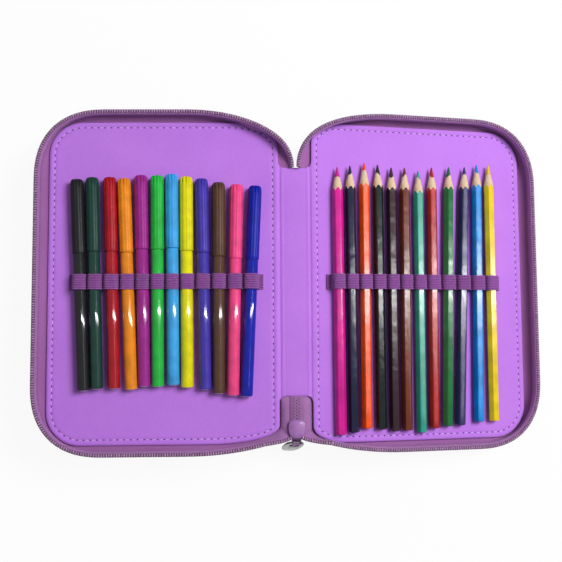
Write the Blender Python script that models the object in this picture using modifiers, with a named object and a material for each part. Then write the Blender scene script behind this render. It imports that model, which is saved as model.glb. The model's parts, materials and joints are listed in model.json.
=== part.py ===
"""Double-decker pencil case: two zipped trays on fabric spines, with the upper tray lying open.

The case stands on its base leaf. Above it are the closed lower deck, the divider leaf with the pens,
the flat upper spine, and the top leaf with the pencils, which is tilted down until its far edge
touches the table. Lengths are in metres, with +X across the open case, +Y towards the pen caps and
+Z up.

Every leaf is built flat in its own frame: the fold axis on the y axis, the face of the lining at
z = 0, and the leaf reaching towards -x, or towards +x when it is mirrored.
"""
import math

import bmesh
import bpy
import numpy as np

# Leaves
leaf_reach = 0.151
leaf_half_height = 0.1055
far_corner_radius = 0.022
fold_corner_reach = 0.040
fold_corner_drop = 0.017
cover_thickness = 0.0024
cover_round = 0.0008
board_thickness = 0.0020
lining_thickness = 0.0006
seat_gap = 0.0003

# Spines
upper_spine_width = 0.020
lower_spine_width = 0.026
notch_depth = 0.0305
spine_thickness = 0.0016
spine_corner_radius = 0.003
fold_gap = 0.0008
notch_clearance = 0.0005

# Zip tapes and chains
tape_thickness = 0.0006
chain_radius = 0.0008
chain_clearance = 0.0005
side_splay = 0.0065
end_splay = 0.005
rim_corner_radius = 0.045
upper_sweep_reach = 0.0684
upper_chain_offset = 0.0016
tail_sweep_reach = 0.0884
lower_sweep_reach = 0.032
lower_notch_straight = 0.011
lower_chain_overhang = 0.0008

# Closed end of the upper zip
zip_end_gap = 0.0005
zip_mouth_inset = 0.0065
zip_bow_inset = 0.0027

# Zip sliders and pulls
slider_length = 0.012
slider_half_width = 0.0048
slider_shoulder_half_width = 0.003
slider_nose_half_width = 0.0019
slider_plate_thickness = 0.001
slider_channel_clearance = 0.00035
slider_web_thickness = 0.0005
slider_web_length = 0.0075
lug_reach = 0.0065
lug_depth = 0.0049
lug_width = 0.0024
lug_hole_radius = 0.0013
lug_wall = 0.0009
pull_length = 0.023
pull_half_width = 0.0063
pull_tip_half_width = 0.0045
pull_thickness = 0.0014
pull_frame = 0.0014
pull_window_length = 0.011
pull_corner_radius = 0.002
upper_slider_inset = 0.010
lower_slider_place = 0.068
lower_pull_standoff = 0.0016

# Pens
pen_length = 0.1365
pen_radius = 0.0039
pen_end_round = 0.0009
neck_radius = 0.0033
neck_length = 0.011
cone_length = 0.009
cone_tip_radius = 0.0016
nib_radius = 0.0009
nib_length = 0.003
cap_length = 0.0485
cap_radius = 0.0043
cap_tip_radius = 0.0036
cap_tip_round = 0.0008
cap_bore_radius = 0.0036
cap_bore_tip_radius = 0.0024
cap_bore_spare = 0.001

# Pencils
pencil_length = 0.175
pencil_radius = 0.00375
sharpened_length = 0.0165
lead_tip_radius = 0.0004
sharpener_spare = 0.0004

# Elastic strips
elastic_width = 0.010
elastic_thickness = 0.0006
elastic_clearance = 0.00035
elastic_tab = 0.0034
elastic_drop = 0.0007

# One named overrun serves every cut
overrun = 0.001

# Facets
far_corner_steps = 5
fold_corner_steps = 7
arch_steps = 6
turned_steps = 12
sharpener_steps = 18
wall_rows = 3
station_spacing = 0.012
sampling_steps = 30
zip_end_stations = 7
round_corner_steps = 4
smooth_degrees = 40.0

# Shapes of corners: 2 is an ellipse, and more is squarer
ellipse_power = 2.0
rim_power = 2.4

# Where the upper tapes stop short of the slider, as turns along their end sweeps
tail_rim_degrees = 56.0
tail_root_degrees = 45.0

# How far the pulls hang from the sliders, and the longest turn of a sharp edge
upper_pull_degrees = -65.0
lower_pull_degrees = 0.0

# Pens from left to right: colour, place in the row in pen widths, lean, and middle along the leaf
pen_names = ("black", "forest", "red", "orange", "plum", "green",
             "sky", "yellow", "violet", "brown", "pink", "blue")
pen_colours = ((35, 37, 39), (32, 70, 62), (173, 26, 40), (240, 138, 26), (160, 44, 146), (44, 186, 74),
               (62, 168, 234), (236, 226, 8), (72, 58, 170), (96, 68, 50), (250, 78, 142), (14, 34, 168))
pen_row_share = 0.4878
pen_place_shares = (6.400, 5.319, 4.028, 2.865, 1.738, 0.621,
                    -0.508, -1.565, -2.809, -3.959, -5.181, -6.402)
pen_lean_degrees = (-2.6, -2.0, -1.7, -2.5, -1.4, -0.5, -0.7, -0.5, -1.2, -0.1, 1.1, 2.6)
pen_drop_shares = (-0.0199, -0.0095, -0.0085, -0.0152, 0.0038, 0.0019,
                   0.0104, -0.0057, -0.0180, -0.0417, -0.0550, -0.0626)

# Pencils from left to right, in the same way
pencil_names = ("magenta", "navy", "orange", "bottle", "mulberry", "brown",
                "teal", "red", "green", "indigo", "azure", "yellow")
pencil_colours = ((226, 30, 156), (28, 38, 76), (250, 84, 10), (26, 38, 36), (60, 36, 50), (118, 54, 38),
                  (46, 160, 138), (184, 26, 30), (32, 116, 62), (56, 52, 104), (22, 142, 226), (244, 210, 18))
pencil_row_share = 0.4795
pencil_place_shares = (-7.227, -6.053, -4.787, -3.507, -2.240, -1.027,
                       0.293, 1.560, 3.040, 4.440, 5.933, 7.227)
pencil_lean_degrees = (-0.2, -0.2, 0.1, 0.0, 0.1, 0.4, 0.3, 0.5, 1.6, 2.4, 0.9, 0.2)
pencil_drop_shares = (-0.1156, -0.1043, -0.0825, -0.0900, -0.1033, -0.1014,
                      -0.1175, -0.0929, -0.0834, -0.0796, -0.0616, -0.0597)

# Worked out from the sizes above
cover_leaf_thickness = cover_thickness + seat_gap + lining_thickness
divider_thickness = board_thickness + 2 * (seat_gap + lining_thickness)
cover_root_depth = lining_thickness + seat_gap + cover_thickness / 2
divider_root_depth = lining_thickness + seat_gap + tape_thickness / 2
tape_standoff = seat_gap + tape_thickness / 2
spine_half_length = leaf_half_height - notch_depth
upper_sweep_drop = end_splay + notch_depth - notch_clearance
lower_sweep_drop = upper_sweep_drop - lower_notch_straight
upper_chain_height = upper_spine_width / 2 - chain_clearance - chain_radius
lower_chain_height = lower_spine_width / 2 - chain_clearance - chain_radius
upper_fold_height = cover_leaf_thickness + lower_spine_width + divider_thickness
cover_span = math.hypot(leaf_reach, cover_leaf_thickness)
cover_tilt = (math.asin(upper_fold_height / cover_span)
              - math.atan2(cover_leaf_thickness, leaf_reach))
channel_half_gap = chain_radius + slider_channel_clearance
slider_half_length = slider_length / 2
slider_outer_face = channel_half_gap + slider_plate_thickness
pen_rest_height = cap_radius + seat_gap
pencil_flat = pencil_radius * math.cos(math.pi / 6)
pencil_rest_height = pencil_flat + seat_gap


def linear_colour(red, green, blue):
    """Turn 8-bit screen values into the linear colour that a shader takes."""
    channels = []
    for value in (red, green, blue):
        level = value / 255
        channels.append(level / 12.92 if level <= 0.04045 else ((level + 0.055) / 1.055) ** 2.4)
    return (*channels, 1.0)


def make_material(name, screen_colour, roughness, metallic=0.0):
    """Make a plain Principled material."""
    material = bpy.data.materials.new(name)
    material.use_nodes = True
    shader = material.node_tree.nodes["Principled BSDF"]
    colour = linear_colour(*screen_colour)
    shader.inputs["Base Color"].default_value = colour
    shader.inputs["Roughness"].default_value = roughness
    shader.inputs["Metallic"].default_value = metallic
    material.diffuse_color = colour
    return material


def make_empty(name, parent, location=(0, 0, 0), rotation=(0, 0, 0)):
    """Make an empty that stands for one moving body's axis."""
    empty = bpy.data.objects.new(name, None)
    empty.parent = parent
    empty.location = location
    empty.rotation_euler = rotation
    model.objects.link(empty)
    return empty


def place(obj, parent, material, location=(0, 0, 0), rotation=(0, 0, 0)):
    """Give a piece its parent, place and material, and shade its round faces smooth."""
    obj.parent = parent
    obj.location = location
    obj.rotation_euler = rotation
    obj.data.materials.append(material)
    if obj.type == "MESH":
        obj.data.shade_smooth()
        obj.data.set_sharp_from_angle(angle=math.radians(smooth_degrees))
    return obj


def new_mesh_object(name, mesh, collection=None):
    """Wrap a mesh in an object and link it."""
    obj = bpy.data.objects.new(name, mesh)
    (collection or model).objects.link(obj)
    return obj


def flat_plate(name, outlines, thickness, collection=None):
    """Make a flat plate, centred on z = 0, from one outline and any holes in it."""
    curve = bpy.data.curves.new(name, "CURVE")
    curve.dimensions = "2D"
    curve.fill_mode = "BOTH"
    curve.extrude = thickness / 2
    for outline in outlines:
        spline = curve.splines.new("POLY")
        spline.points.add(len(outline) - 1)
        for point, (x, y) in zip(spline.points, outline):
            point.co = (x, y, 0, 1)
        spline.use_cyclic_u = True
    return new_mesh_object(name, curve, collection)


def tube(name, points, radius):
    """Make a round tube with closed ends along a list of points."""
    curve = bpy.data.curves.new(name, "CURVE")
    curve.dimensions = "3D"
    curve.bevel_depth = radius
    curve.bevel_resolution = 1
    curve.use_fill_caps = True
    spline = curve.splines.new("POLY")
    spline.points.add(len(points) - 1)
    for point, (x, y, z) in zip(spline.points, points):
        point.co = (x, y, z, 1)
    return new_mesh_object(name, curve)


def turned(name, profile, steps=turned_steps, collection=None):
    """Turn a profile of (radius, height) points, listed top to bottom, about the z axis."""
    mesh = bpy.data.meshes.new(name)
    vertices = [(radius, 0, height) for radius, height in profile]
    edges = [(index, index + 1) for index in range(len(profile) - 1)]
    mesh.from_pydata(vertices, edges, [])
    obj = new_mesh_object(name, mesh, collection)
    screw = obj.modifiers.new("turn", "SCREW")
    screw.steps = steps
    screw.render_steps = steps
    screw.use_merge_vertices = True
    screw.merge_threshold = 0.00001
    return obj


def as_mesh(obj, name=None):
    """Replace an object by the closed mesh that it evaluates to."""
    bpy.context.view_layer.update()
    evaluated = obj.evaluated_get(bpy.context.evaluated_depsgraph_get())
    mesh = bpy.data.meshes.new_from_object(evaluated)
    work = bmesh.new()
    work.from_mesh(mesh)
    bmesh.ops.remove_doubles(work, verts=work.verts, dist=0.000001)
    work.to_mesh(mesh)
    work.free()
    result = new_mesh_object(name or obj.name + "_mesh", mesh, obj.users_collection[0])
    result.matrix_world = obj.matrix_world
    bpy.data.objects.remove(obj)
    return result


def use_as_cutter(obj):
    """Move an object out of the model and keep it only as a guide for booleans."""
    for collection in obj.users_collection:
        collection.objects.unlink(obj)
    cutters.objects.link(obj)
    obj.hide_render = True
    obj.display_type = "WIRE"
    return obj


def combine(obj, other, operation):
    """Add a Boolean modifier with the exact solver."""
    boolean = obj.modifiers.new(operation.lower(), "BOOLEAN")
    boolean.operation = operation
    boolean.solver = "EXACT"
    boolean.object = other


def round_edges(obj, width):
    """Round a plate's edges once its caps are welded to its sides."""
    weld = obj.modifiers.new("weld", "WELD")
    weld.merge_threshold = 0.00001
    bevel = obj.modifiers.new("round", "BEVEL")
    bevel.width = width
    bevel.segments = 2
    bevel.limit_method = "ANGLE"


def corner_arc(centre, radii, start_degrees, end_degrees, steps, power=ellipse_power):
    """List the points of one rounded corner about its centre."""
    points = []
    for degrees in np.linspace(start_degrees, end_degrees, steps + 1):
        cosine, sine = math.cos(math.radians(degrees)), math.sin(math.radians(degrees))
        across = math.copysign(abs(cosine) ** (2 / power), cosine)
        along = math.copysign(abs(sine) ** (2 / power), sine)
        points.append((centre[0] + radii[0] * across, centre[1] + radii[1] * along))
    return points


def rounded_rectangle(low, high, radius, steps=round_corner_steps):
    """Outline a rectangle from its low to its high corner, with round corners."""
    centres = ((high[0] - radius, high[1] - radius), (low[0] + radius, high[1] - radius),
               (low[0] + radius, low[1] + radius), (high[0] - radius, low[1] + radius))
    outline = []
    for quarter, centre in enumerate(centres):
        outline += corner_arc(centre, (radius, radius), 90 * quarter, 90 * (quarter + 1), steps)
    return outline


def fold_corner_path(inset, start_degrees=0.0):
    """List a leaf's upper corner beside the fold, from the fold edge to the end edge."""
    centre = (-fold_gap - fold_corner_reach, leaf_half_height - fold_corner_drop)
    radii = (fold_corner_reach - inset, fold_corner_drop - inset)
    return corner_arc(centre, radii, start_degrees, 90, fold_corner_steps)


def far_corner_path(inset):
    """List a leaf's upper corner away from the fold, from the end edge to the far edge."""
    centre = (far_corner_radius - leaf_reach, leaf_half_height - far_corner_radius)
    radius = far_corner_radius - inset
    return corner_arc(centre, (radius, radius), 90, 180, far_corner_steps)


def leaf_outline(inset=0.0, side=-1):
    """Outline a leaf; side -1 reaches to -x and side 1 is the mirrored leaf."""
    upper = fold_corner_path(inset) + far_corner_path(inset)
    lower = [(x, -y) for x, y in reversed(upper)]
    return [(-side * x, y) for x, y in upper + lower]


def shares_along(path):
    """Return how far along a path each of its points is, from 0 to 1."""
    steps = np.linalg.norm(np.diff(path, axis=0), axis=1)
    travelled = np.concatenate([[0.0], np.cumsum(steps)])
    return travelled / travelled[-1]


def pair_stations(root, rim, longest_step):
    """Pair each point of the tape's root with the rim's point at the same share of the way."""
    fine = [np.array(root[0])]
    for start, end in zip(root, root[1:]):
        start, end = np.array(start), np.array(end)
        pieces = math.ceil(np.linalg.norm(end - start) / longest_step)
        fine += [start + (end - start) * piece / pieces for piece in range(1, pieces + 1)]
    root_path, rim_path = np.array(fine), np.array(rim)
    shares, rim_shares = shares_along(root_path), shares_along(rim_path)
    return root_path, np.column_stack([np.interp(shares, rim_shares, rim_path[:, axis])
                                       for axis in range(2)])


def straight_start(rim_end, sweep):
    """Return the x at which both the tape's root and its rim have run straight."""
    return min(rim_end - sweep[0], -fold_gap - fold_corner_reach)


def end_section(rim_end, sweep, rim_start_degrees=0.0, root_start_degrees=0.0):
    """Pair the tape's root and rim along the end sweep, from the notch to the straight edge."""
    centre = (rim_end - sweep[0], leaf_half_height + end_splay - sweep[1])
    rim = corner_arc(centre, sweep, rim_start_degrees, 90, sampling_steps)
    root = fold_corner_path(-tape_standoff, root_start_degrees)
    if not rim_start_degrees:
        notch = spine_half_length + notch_clearance
        rim.insert(0, (rim_end, notch))
        root.insert(0, (root[0][0], notch))
    for path in (root, rim):
        if path[-1][0] > straight_start(rim_end, sweep) + seat_gap:
            path.append((straight_start(rim_end, sweep), path[-1][1]))
    return pair_stations(root, rim, station_spacing)


def leaf_sections(rim_end, sweep, tail_sweep=None):
    """Pair the tape's root and rim all round a leaf, from its top notch to its bottom one."""
    rim_top, rim_far = leaf_half_height + end_splay, -leaf_reach - side_splay
    root_top, root_far = leaf_half_height + tape_standoff, -leaf_reach - tape_standoff
    turn_x, turn_y = rim_far + rim_corner_radius, rim_top - rim_corner_radius
    straight_x = straight_start(rim_end, sweep)

    head = end_section(rim_end, sweep)
    straight = pair_stations([(straight_x, root_top), (turn_x, root_top)],
                             [(straight_x, rim_top), (turn_x, rim_top)], leaf_reach)
    corner = pair_stations([(turn_x, root_top), *far_corner_path(-tape_standoff), (root_far, turn_y)],
                           corner_arc((turn_x, turn_y), (rim_corner_radius, rim_corner_radius),
                                      90, 180, sampling_steps, rim_power), station_spacing)
    side = pair_stations([(root_far, turn_y), (root_far, -turn_y)],
                         [(rim_far, turn_y), (rim_far, -turn_y)], leaf_reach)
    tail = head
    if tail_sweep:
        tail_end = rim_end - sweep[0] + tail_sweep[0]
        tail = end_section(tail_end, tail_sweep, tail_rim_degrees, tail_root_degrees)
    mirrored = [tuple((path * (1, -1))[::-1] for path in part) for part in (corner, straight, tail)]
    parts = [head, straight, corner, side, *mirrored]
    return tuple(np.vstack([part[half][:-1] for part in parts] + [parts[-1][half][-1:]])
                 for half in range(2))


def chain_points(rim, chain_height, side=-1):
    """Lift the rim to the chain's height, and roll it over the fold where it passes it."""
    points = []
    for x, y in rim:
        beyond = max(0.0, x)
        points.append((-side * x, y, math.sqrt(chain_height ** 2 - beyond ** 2)))
    return points


def tape_wall(name, root, rim, root_depth, chain_height, side=-1):
    """Loft the zip tape from the leaf's edge to the chain, bulging out and turning upright."""
    edge_drop = chain_radius + seat_gap
    tops = chain_points(rim, chain_height, side)
    work = bmesh.new()
    rows = []
    for turn in np.linspace(0, math.pi / 2, wall_rows + 1):
        out, up = math.sin(turn), 1 - math.cos(turn)
        row = []
        for (root_x, root_y), (top_x, top_y, top_z) in zip(root, tops):
            start_x = -side * root_x
            row.append(work.verts.new((start_x + (top_x - start_x) * out,
                                       root_y + (top_y - root_y) * out,
                                       -root_depth + (top_z - edge_drop + root_depth) * up)))
        rows.append(row)
    for lower, upper in zip(rows, rows[1:]):
        for index in range(len(lower) - 1):
            work.faces.new((lower[index], lower[index + 1], upper[index + 1], upper[index]))
    mesh = bpy.data.meshes.new(name)
    bmesh.ops.recalc_face_normals(work, faces=work.faces)
    work.to_mesh(mesh)
    work.free()
    obj = new_mesh_object(name, mesh)
    solidify = obj.modifiers.new("thickness", "SOLIDIFY")
    solidify.thickness = tape_thickness
    solidify.offset = 0
    solidify.use_even_offset = True
    return obj


def spine_strip(name, width):
    """Make one spine's stiffened strip, from fold gap to fold gap."""
    outline = rounded_rectangle((fold_gap, -spine_half_length),
                                (width - fold_gap, spine_half_length), spine_corner_radius)
    return flat_plate(name, [outline], spine_thickness)


def elastic_outline(places, cavity_radius, rest_height):
    """Outline an elastic strip, sewn to the lining between arches over each pen or pencil."""
    outer_radius = cavity_radius + elastic_thickness
    low, top = seat_gap, seat_gap + elastic_thickness
    first, last = places[0], places[-1]
    outline = [(first - outer_radius - elastic_tab, low), (first - outer_radius - elastic_tab, top),
               (first - outer_radius, top)]
    gaps = [right - left for left, right in zip(places, places[1:])]
    for index, place_x in enumerate(places):
        left_gap = gaps[index - 1] if index else 2 * outer_radius
        right_gap = gaps[index] if index < len(gaps) else 2 * outer_radius
        left_clip = math.acos(min(1.0, left_gap / 2 / outer_radius))
        right_clip = math.acos(min(1.0, right_gap / 2 / outer_radius))
        for angle in np.linspace(math.pi - left_clip, right_clip, arch_steps + 1):
            x, z = place_x + outer_radius * math.cos(angle), rest_height + outer_radius * math.sin(angle)
            if outline[-1] != (x, z) and math.dist(outline[-1], (x, z)) > elastic_clearance:
                outline.append((x, z))
        if index < len(gaps) and not right_clip:
            outline.append((place_x + right_gap / 2, rest_height - elastic_thickness))
    outline += [(last + outer_radius, top), (last + outer_radius + elastic_tab, top),
                (last + outer_radius + elastic_tab, low)]
    for place_x in reversed(places):
        outline.append((place_x + cavity_radius, low))
        for angle in np.linspace(0, math.pi, arch_steps + 1):
            outline.append((place_x + cavity_radius * math.cos(angle),
                            rest_height + cavity_radius * math.sin(angle)))
        outline.append((place_x - cavity_radius, low))
    return outline


def elastic_strip(name, places, piece_radius, rest_height):
    """Extrude an elastic strip's outline along y."""
    outline = elastic_outline(sorted(places), piece_radius + elastic_clearance, rest_height)
    return flat_plate(name, [outline], elastic_width)


def slider_plate_outline():
    """Outline a slider plate: a broad shield that narrows to the nose at -y."""
    half = [(slider_nose_half_width, -slider_half_length),
            (slider_half_width * 0.72, -slider_half_length * 0.45),
            (slider_half_width, slider_half_length * 0.12),
            (slider_half_width * 0.94, slider_half_length * 0.6),
            (slider_shoulder_half_width, slider_half_length)]
    return half + [(-x, y) for x, y in reversed(half)]


def make_slider(name, axis):
    """Join a slider from two plates, the web between the chains and the lug under its nose.

    The chain runs along y at z = 0, the nose points to -y and the lug hangs to -z.
    """
    plate_middle = channel_half_gap + slider_plate_thickness / 2
    body = as_mesh(flat_plate(name + "_inner_plate", [slider_plate_outline()], slider_plate_thickness), name)
    for vertex in body.data.vertices:
        vertex.co.z += plate_middle
    lower = as_mesh(flat_plate(name + "_outer_plate", [slider_plate_outline()], slider_plate_thickness))
    for vertex in lower.data.vertices:
        vertex.co.z -= plate_middle

    web = bpy.data.meshes.new(name + "_web")
    work = bmesh.new()
    bmesh.ops.create_cube(work, size=1.0)
    height = 2 * channel_half_gap + slider_plate_thickness
    bmesh.ops.scale(work, verts=work.verts, vec=(slider_web_thickness, slider_web_length, height))
    bmesh.ops.translate(work, verts=work.verts,
                        vec=(0, slider_web_length / 2 - slider_half_length + seat_gap, 0))
    work.to_mesh(web)
    work.free()
    web_object = new_mesh_object(name + "_web", web)

    lug_top = slider_outer_face - slider_plate_thickness / 2
    eye_y, eye_z = pull_pivot()
    lug_low = (-slider_half_length - lug_reach + lug_wall, -slider_outer_face - lug_depth)
    lug_high = (-slider_half_length + lug_reach / 2, -lug_top)
    eye = corner_arc((eye_y, eye_z), (lug_hole_radius, lug_hole_radius), 0, 315, 7)
    lug_outline = rounded_rectangle(lug_low, lug_high, lug_wall)
    lug = as_mesh(flat_plate(name + "_lug", [lug_outline, eye], lug_width))
    for vertex in lug.data.vertices:
        y, z, x = vertex.co
        vertex.co = (x, y, z)

    for extra in (lower, web_object, lug):
        extra.parent = axis
        combine(body, use_as_cutter(extra), "UNION")
    return body


def pull_pivot():
    """Return the y and z of a pull's bar in its slider's frame."""
    return (-slider_half_length - lug_reach + 2 * lug_wall + lug_hole_radius,
            -slider_outer_face - lug_depth + lug_wall + lug_hole_radius)


def make_pull(name):
    """Cut a pull from sheet: its bar lies on the y = 0 axis and it reaches to -y."""
    bar = pull_frame / 2
    outer = [(pull_half_width, bar), (-pull_half_width, bar)]
    outer += [(-pull_half_width, -pull_window_length), (-pull_tip_half_width, -pull_length + pull_corner_radius),
              (-pull_tip_half_width + pull_corner_radius, -pull_length),
              (pull_tip_half_width - pull_corner_radius, -pull_length),
              (pull_tip_half_width, -pull_length + pull_corner_radius), (pull_half_width, -pull_window_length)]
    window = rounded_rectangle((pull_frame - pull_half_width, pull_frame - pull_window_length),
                               (pull_half_width - pull_frame, -bar), pull_frame, 2)
    return flat_plate(name, [outer, window], pull_thickness)


def make_pen_barrel(name):
    """Turn a pen's barrel, neck and nib about z, with the cap's seam above its middle."""
    top, seam = pen_length / 2, pen_length / 2 - cap_length
    neck_top = seam + neck_length
    nib_root = neck_top + cone_length
    profile = [(0, nib_root + nib_length), (nib_radius, nib_root + nib_length), (nib_radius, nib_root),
               (cone_tip_radius, nib_root), (neck_radius, neck_top), (neck_radius, seam),
               (pen_radius, seam), (pen_radius, pen_end_round - top),
               (pen_radius - pen_end_round, -top), (0, -top)]
    return turned(name, profile)


def make_pen_cap(name):
    """Turn a pen's cap about z, hollow for the neck and the nib."""
    top, seam = pen_length / 2, pen_length / 2 - cap_length
    mouth = seam + seat_gap
    bore_end = seam + neck_length + cone_length + nib_length + cap_bore_spare
    profile = [(0, top), (cap_tip_radius, top), (cap_radius, top - cap_tip_round), (cap_radius, mouth),
               (cap_bore_radius, mouth), (cap_bore_radius, seam + neck_length + cap_bore_spare),
               (cap_bore_tip_radius, bore_end), (0, bore_end)]
    return turned(name, profile)


def make_pencil_mesh():
    """Sharpen a six-sided rod, so the cone leaves a scalloped edge on its flats."""
    top = pencil_length / 2
    rod = bpy.data.meshes.new("pencil_rod")
    work = bmesh.new()
    bmesh.ops.create_cone(work, cap_ends=True, segments=6, radius1=pencil_radius,
                          radius2=pencil_radius, depth=pencil_length)
    work.verts.ensure_lookup_table()
    first = work.verts[0].co
    turn = -math.atan2(first.y, first.x)
    for vertex in work.verts:
        x, y = vertex.co.x, vertex.co.y
        vertex.co.x = x * math.cos(turn) - y * math.sin(turn)
        vertex.co.y = x * math.sin(turn) + y * math.cos(turn)
    work.to_mesh(rod)
    work.free()
    body = new_mesh_object("pencil_rod", rod)
    wide = pencil_radius + sharpener_spare
    slope = (pencil_radius - lead_tip_radius) / sharpened_length
    shoulder = top - (wide - lead_tip_radius) / slope
    sharpener = turned("pencil_sharpener",
                       [(0, top), (lead_tip_radius, top), (wide, shoulder),
                        (wide, -top - overrun), (0, -top - overrun)], sharpener_steps)
    combine(body, use_as_cutter(sharpener), "INTERSECT")
    sharpened = as_mesh(body, "pencil_pattern")
    mesh = sharpened.data
    bpy.data.objects.remove(sharpened)
    return mesh


def zip_end_path():
    """List the closed zip's chain: in from the left rim, up the stub, round and out to the right."""
    middle = upper_spine_width / 2
    leg = middle - upper_chain_offset
    stub_height = math.sqrt(upper_chain_height ** 2 - leg ** 2)
    turn_y = -spine_half_length - notch_clearance - chain_radius - upper_chain_offset
    mouth_y = zip_mouth_inset - leaf_half_height
    centre_x = leg - upper_sweep_reach
    angle = math.radians(tail_rim_degrees)
    start = (centre_x + tail_sweep_reach * math.cos(angle) + zip_end_gap,
             -leaf_half_height - end_splay + upper_sweep_drop * (1 - math.sin(angle)))
    low_y = zip_bow_inset - leaf_half_height
    left = []
    for share in np.linspace(0, 1, zip_end_stations):
        reach = math.sin(share * math.pi / 2)
        ease = share * share * (3 - 2 * share)
        x = start[0] + (leg - start[0]) * reach
        y = start[1] + (low_y - start[1]) * math.sin(share * math.pi) + (mouth_y - start[1]) * share ** 6
        left.append((x, y, upper_chain_height + (stub_height - upper_chain_height) * ease))
    left.append((leg, turn_y, stub_height))
    turn = [(middle, turn_y + upper_chain_offset, stub_height)]
    right = [(2 * middle - x, y, z) for x, y, z in reversed(left)]
    return left + turn + right


def build_leaf_frame(parent, lining_name, material, side=-1, location=(0, 0, 0), rotation=(0, 0, 0)):
    """Add a leaf's lining under z = 0."""
    lining = flat_plate(lining_name, [leaf_outline(seat_gap, side)], lining_thickness)
    frame = make_empty(lining_name + "_frame", parent, location, rotation)
    return place(lining, frame, material, (0, 0, -lining_thickness / 2)), frame


def build_zip(frame, wall_name, chain_name, sections, root_depth, chain_height, side=-1):
    """Add a leaf's tape wall and the chain on its rim."""
    root, rim = sections
    place(tape_wall(wall_name, root, rim, root_depth, chain_height, side), frame, finishes["tape"])
    place(tube(chain_name, chain_points(rim, chain_height, side), chain_radius), frame, finishes["chain"])


def build_cover(name, frame, side=-1):
    """Add the outer cover under a leaf's lining."""
    cover = flat_plate(name, [leaf_outline(0.0, side)], cover_thickness)
    round_edges(cover, cover_round)
    drop = lining_thickness + seat_gap + cover_thickness / 2
    return place(cover, frame, finishes["outside"], (0, 0, -drop))


def build_slider(slider_name, pull_name, parent, location, rotation, pull_degrees):
    """Add a zip slider with its pull, each on its own axis."""
    axis = make_empty(slider_name + "_axis", parent, location, rotation)
    place(make_slider(slider_name, axis), axis, finishes["slider"])
    eye_y, eye_z = pull_pivot()
    pull_axis = make_empty(pull_name + "_axis", axis, (0, eye_y, eye_z),
                           (math.radians(-pull_degrees), 0, 0))
    place(make_pull(pull_name), pull_axis, finishes["pull"])


def build_pens(frame):
    """Lay the pens on the divider, each barrel and cap on one axis along the pen."""
    places = []
    for name, colour, place_share, lean, drop_share in zip(
            pen_names, pen_colours, pen_place_shares, pen_lean_degrees, pen_drop_shares):
        x = -leaf_reach * pen_row_share - 2 * cap_radius * place_share
        y = leaf_half_height * drop_share
        shift = (y + elastic_drop) * math.tan(math.radians(lean))
        axis = make_empty(name + "_pen_axis", frame, (x + shift, y, pen_rest_height),
                          (-math.pi / 2, 0, -math.radians(lean)))
        finish = make_material(name + "_pen_plastic", colour, 0.25)
        place(make_pen_barrel(name + "_pen_barrel"), axis, finish)
        place(make_pen_cap(name + "_pen_cap"), axis, finish)
        places.append(x)
    return places


def build_pencils(frame):
    """Lay the pencils on the top leaf."""
    mesh = make_pencil_mesh()
    places = []
    for name, colour, place_share, lean, drop_share in zip(
            pencil_names, pencil_colours, pencil_place_shares, pencil_lean_degrees, pencil_drop_shares):
        x = leaf_reach * pencil_row_share + 2 * pencil_radius * place_share
        y = leaf_half_height * drop_share
        shift = (y + elastic_drop) * math.tan(math.radians(lean))
        axis = make_empty(name + "_pencil_axis", frame, (x + shift, y, pencil_rest_height),
                          (-math.pi / 2, 0, -math.radians(lean)))
        pencil = new_mesh_object(name + "_pencil", mesh.copy())
        place(pencil, axis, make_material(name + "_pencil_paint", colour, 0.35))
        places.append(x)
    return places


def model_bounds():
    """Measure the evaluated model's lowest and highest corner."""
    bpy.context.view_layer.update()
    graph = bpy.context.evaluated_depsgraph_get()
    corners = []
    for obj in model.objects:
        if obj.type == "EMPTY":
            continue
        evaluated = obj.evaluated_get(graph)
        mesh = evaluated.to_mesh()
        corners += [evaluated.matrix_world @ vertex.co for vertex in mesh.vertices]
        evaluated.to_mesh_clear()
    points = np.array(corners)
    return points.min(axis=0), points.max(axis=0)


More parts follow.
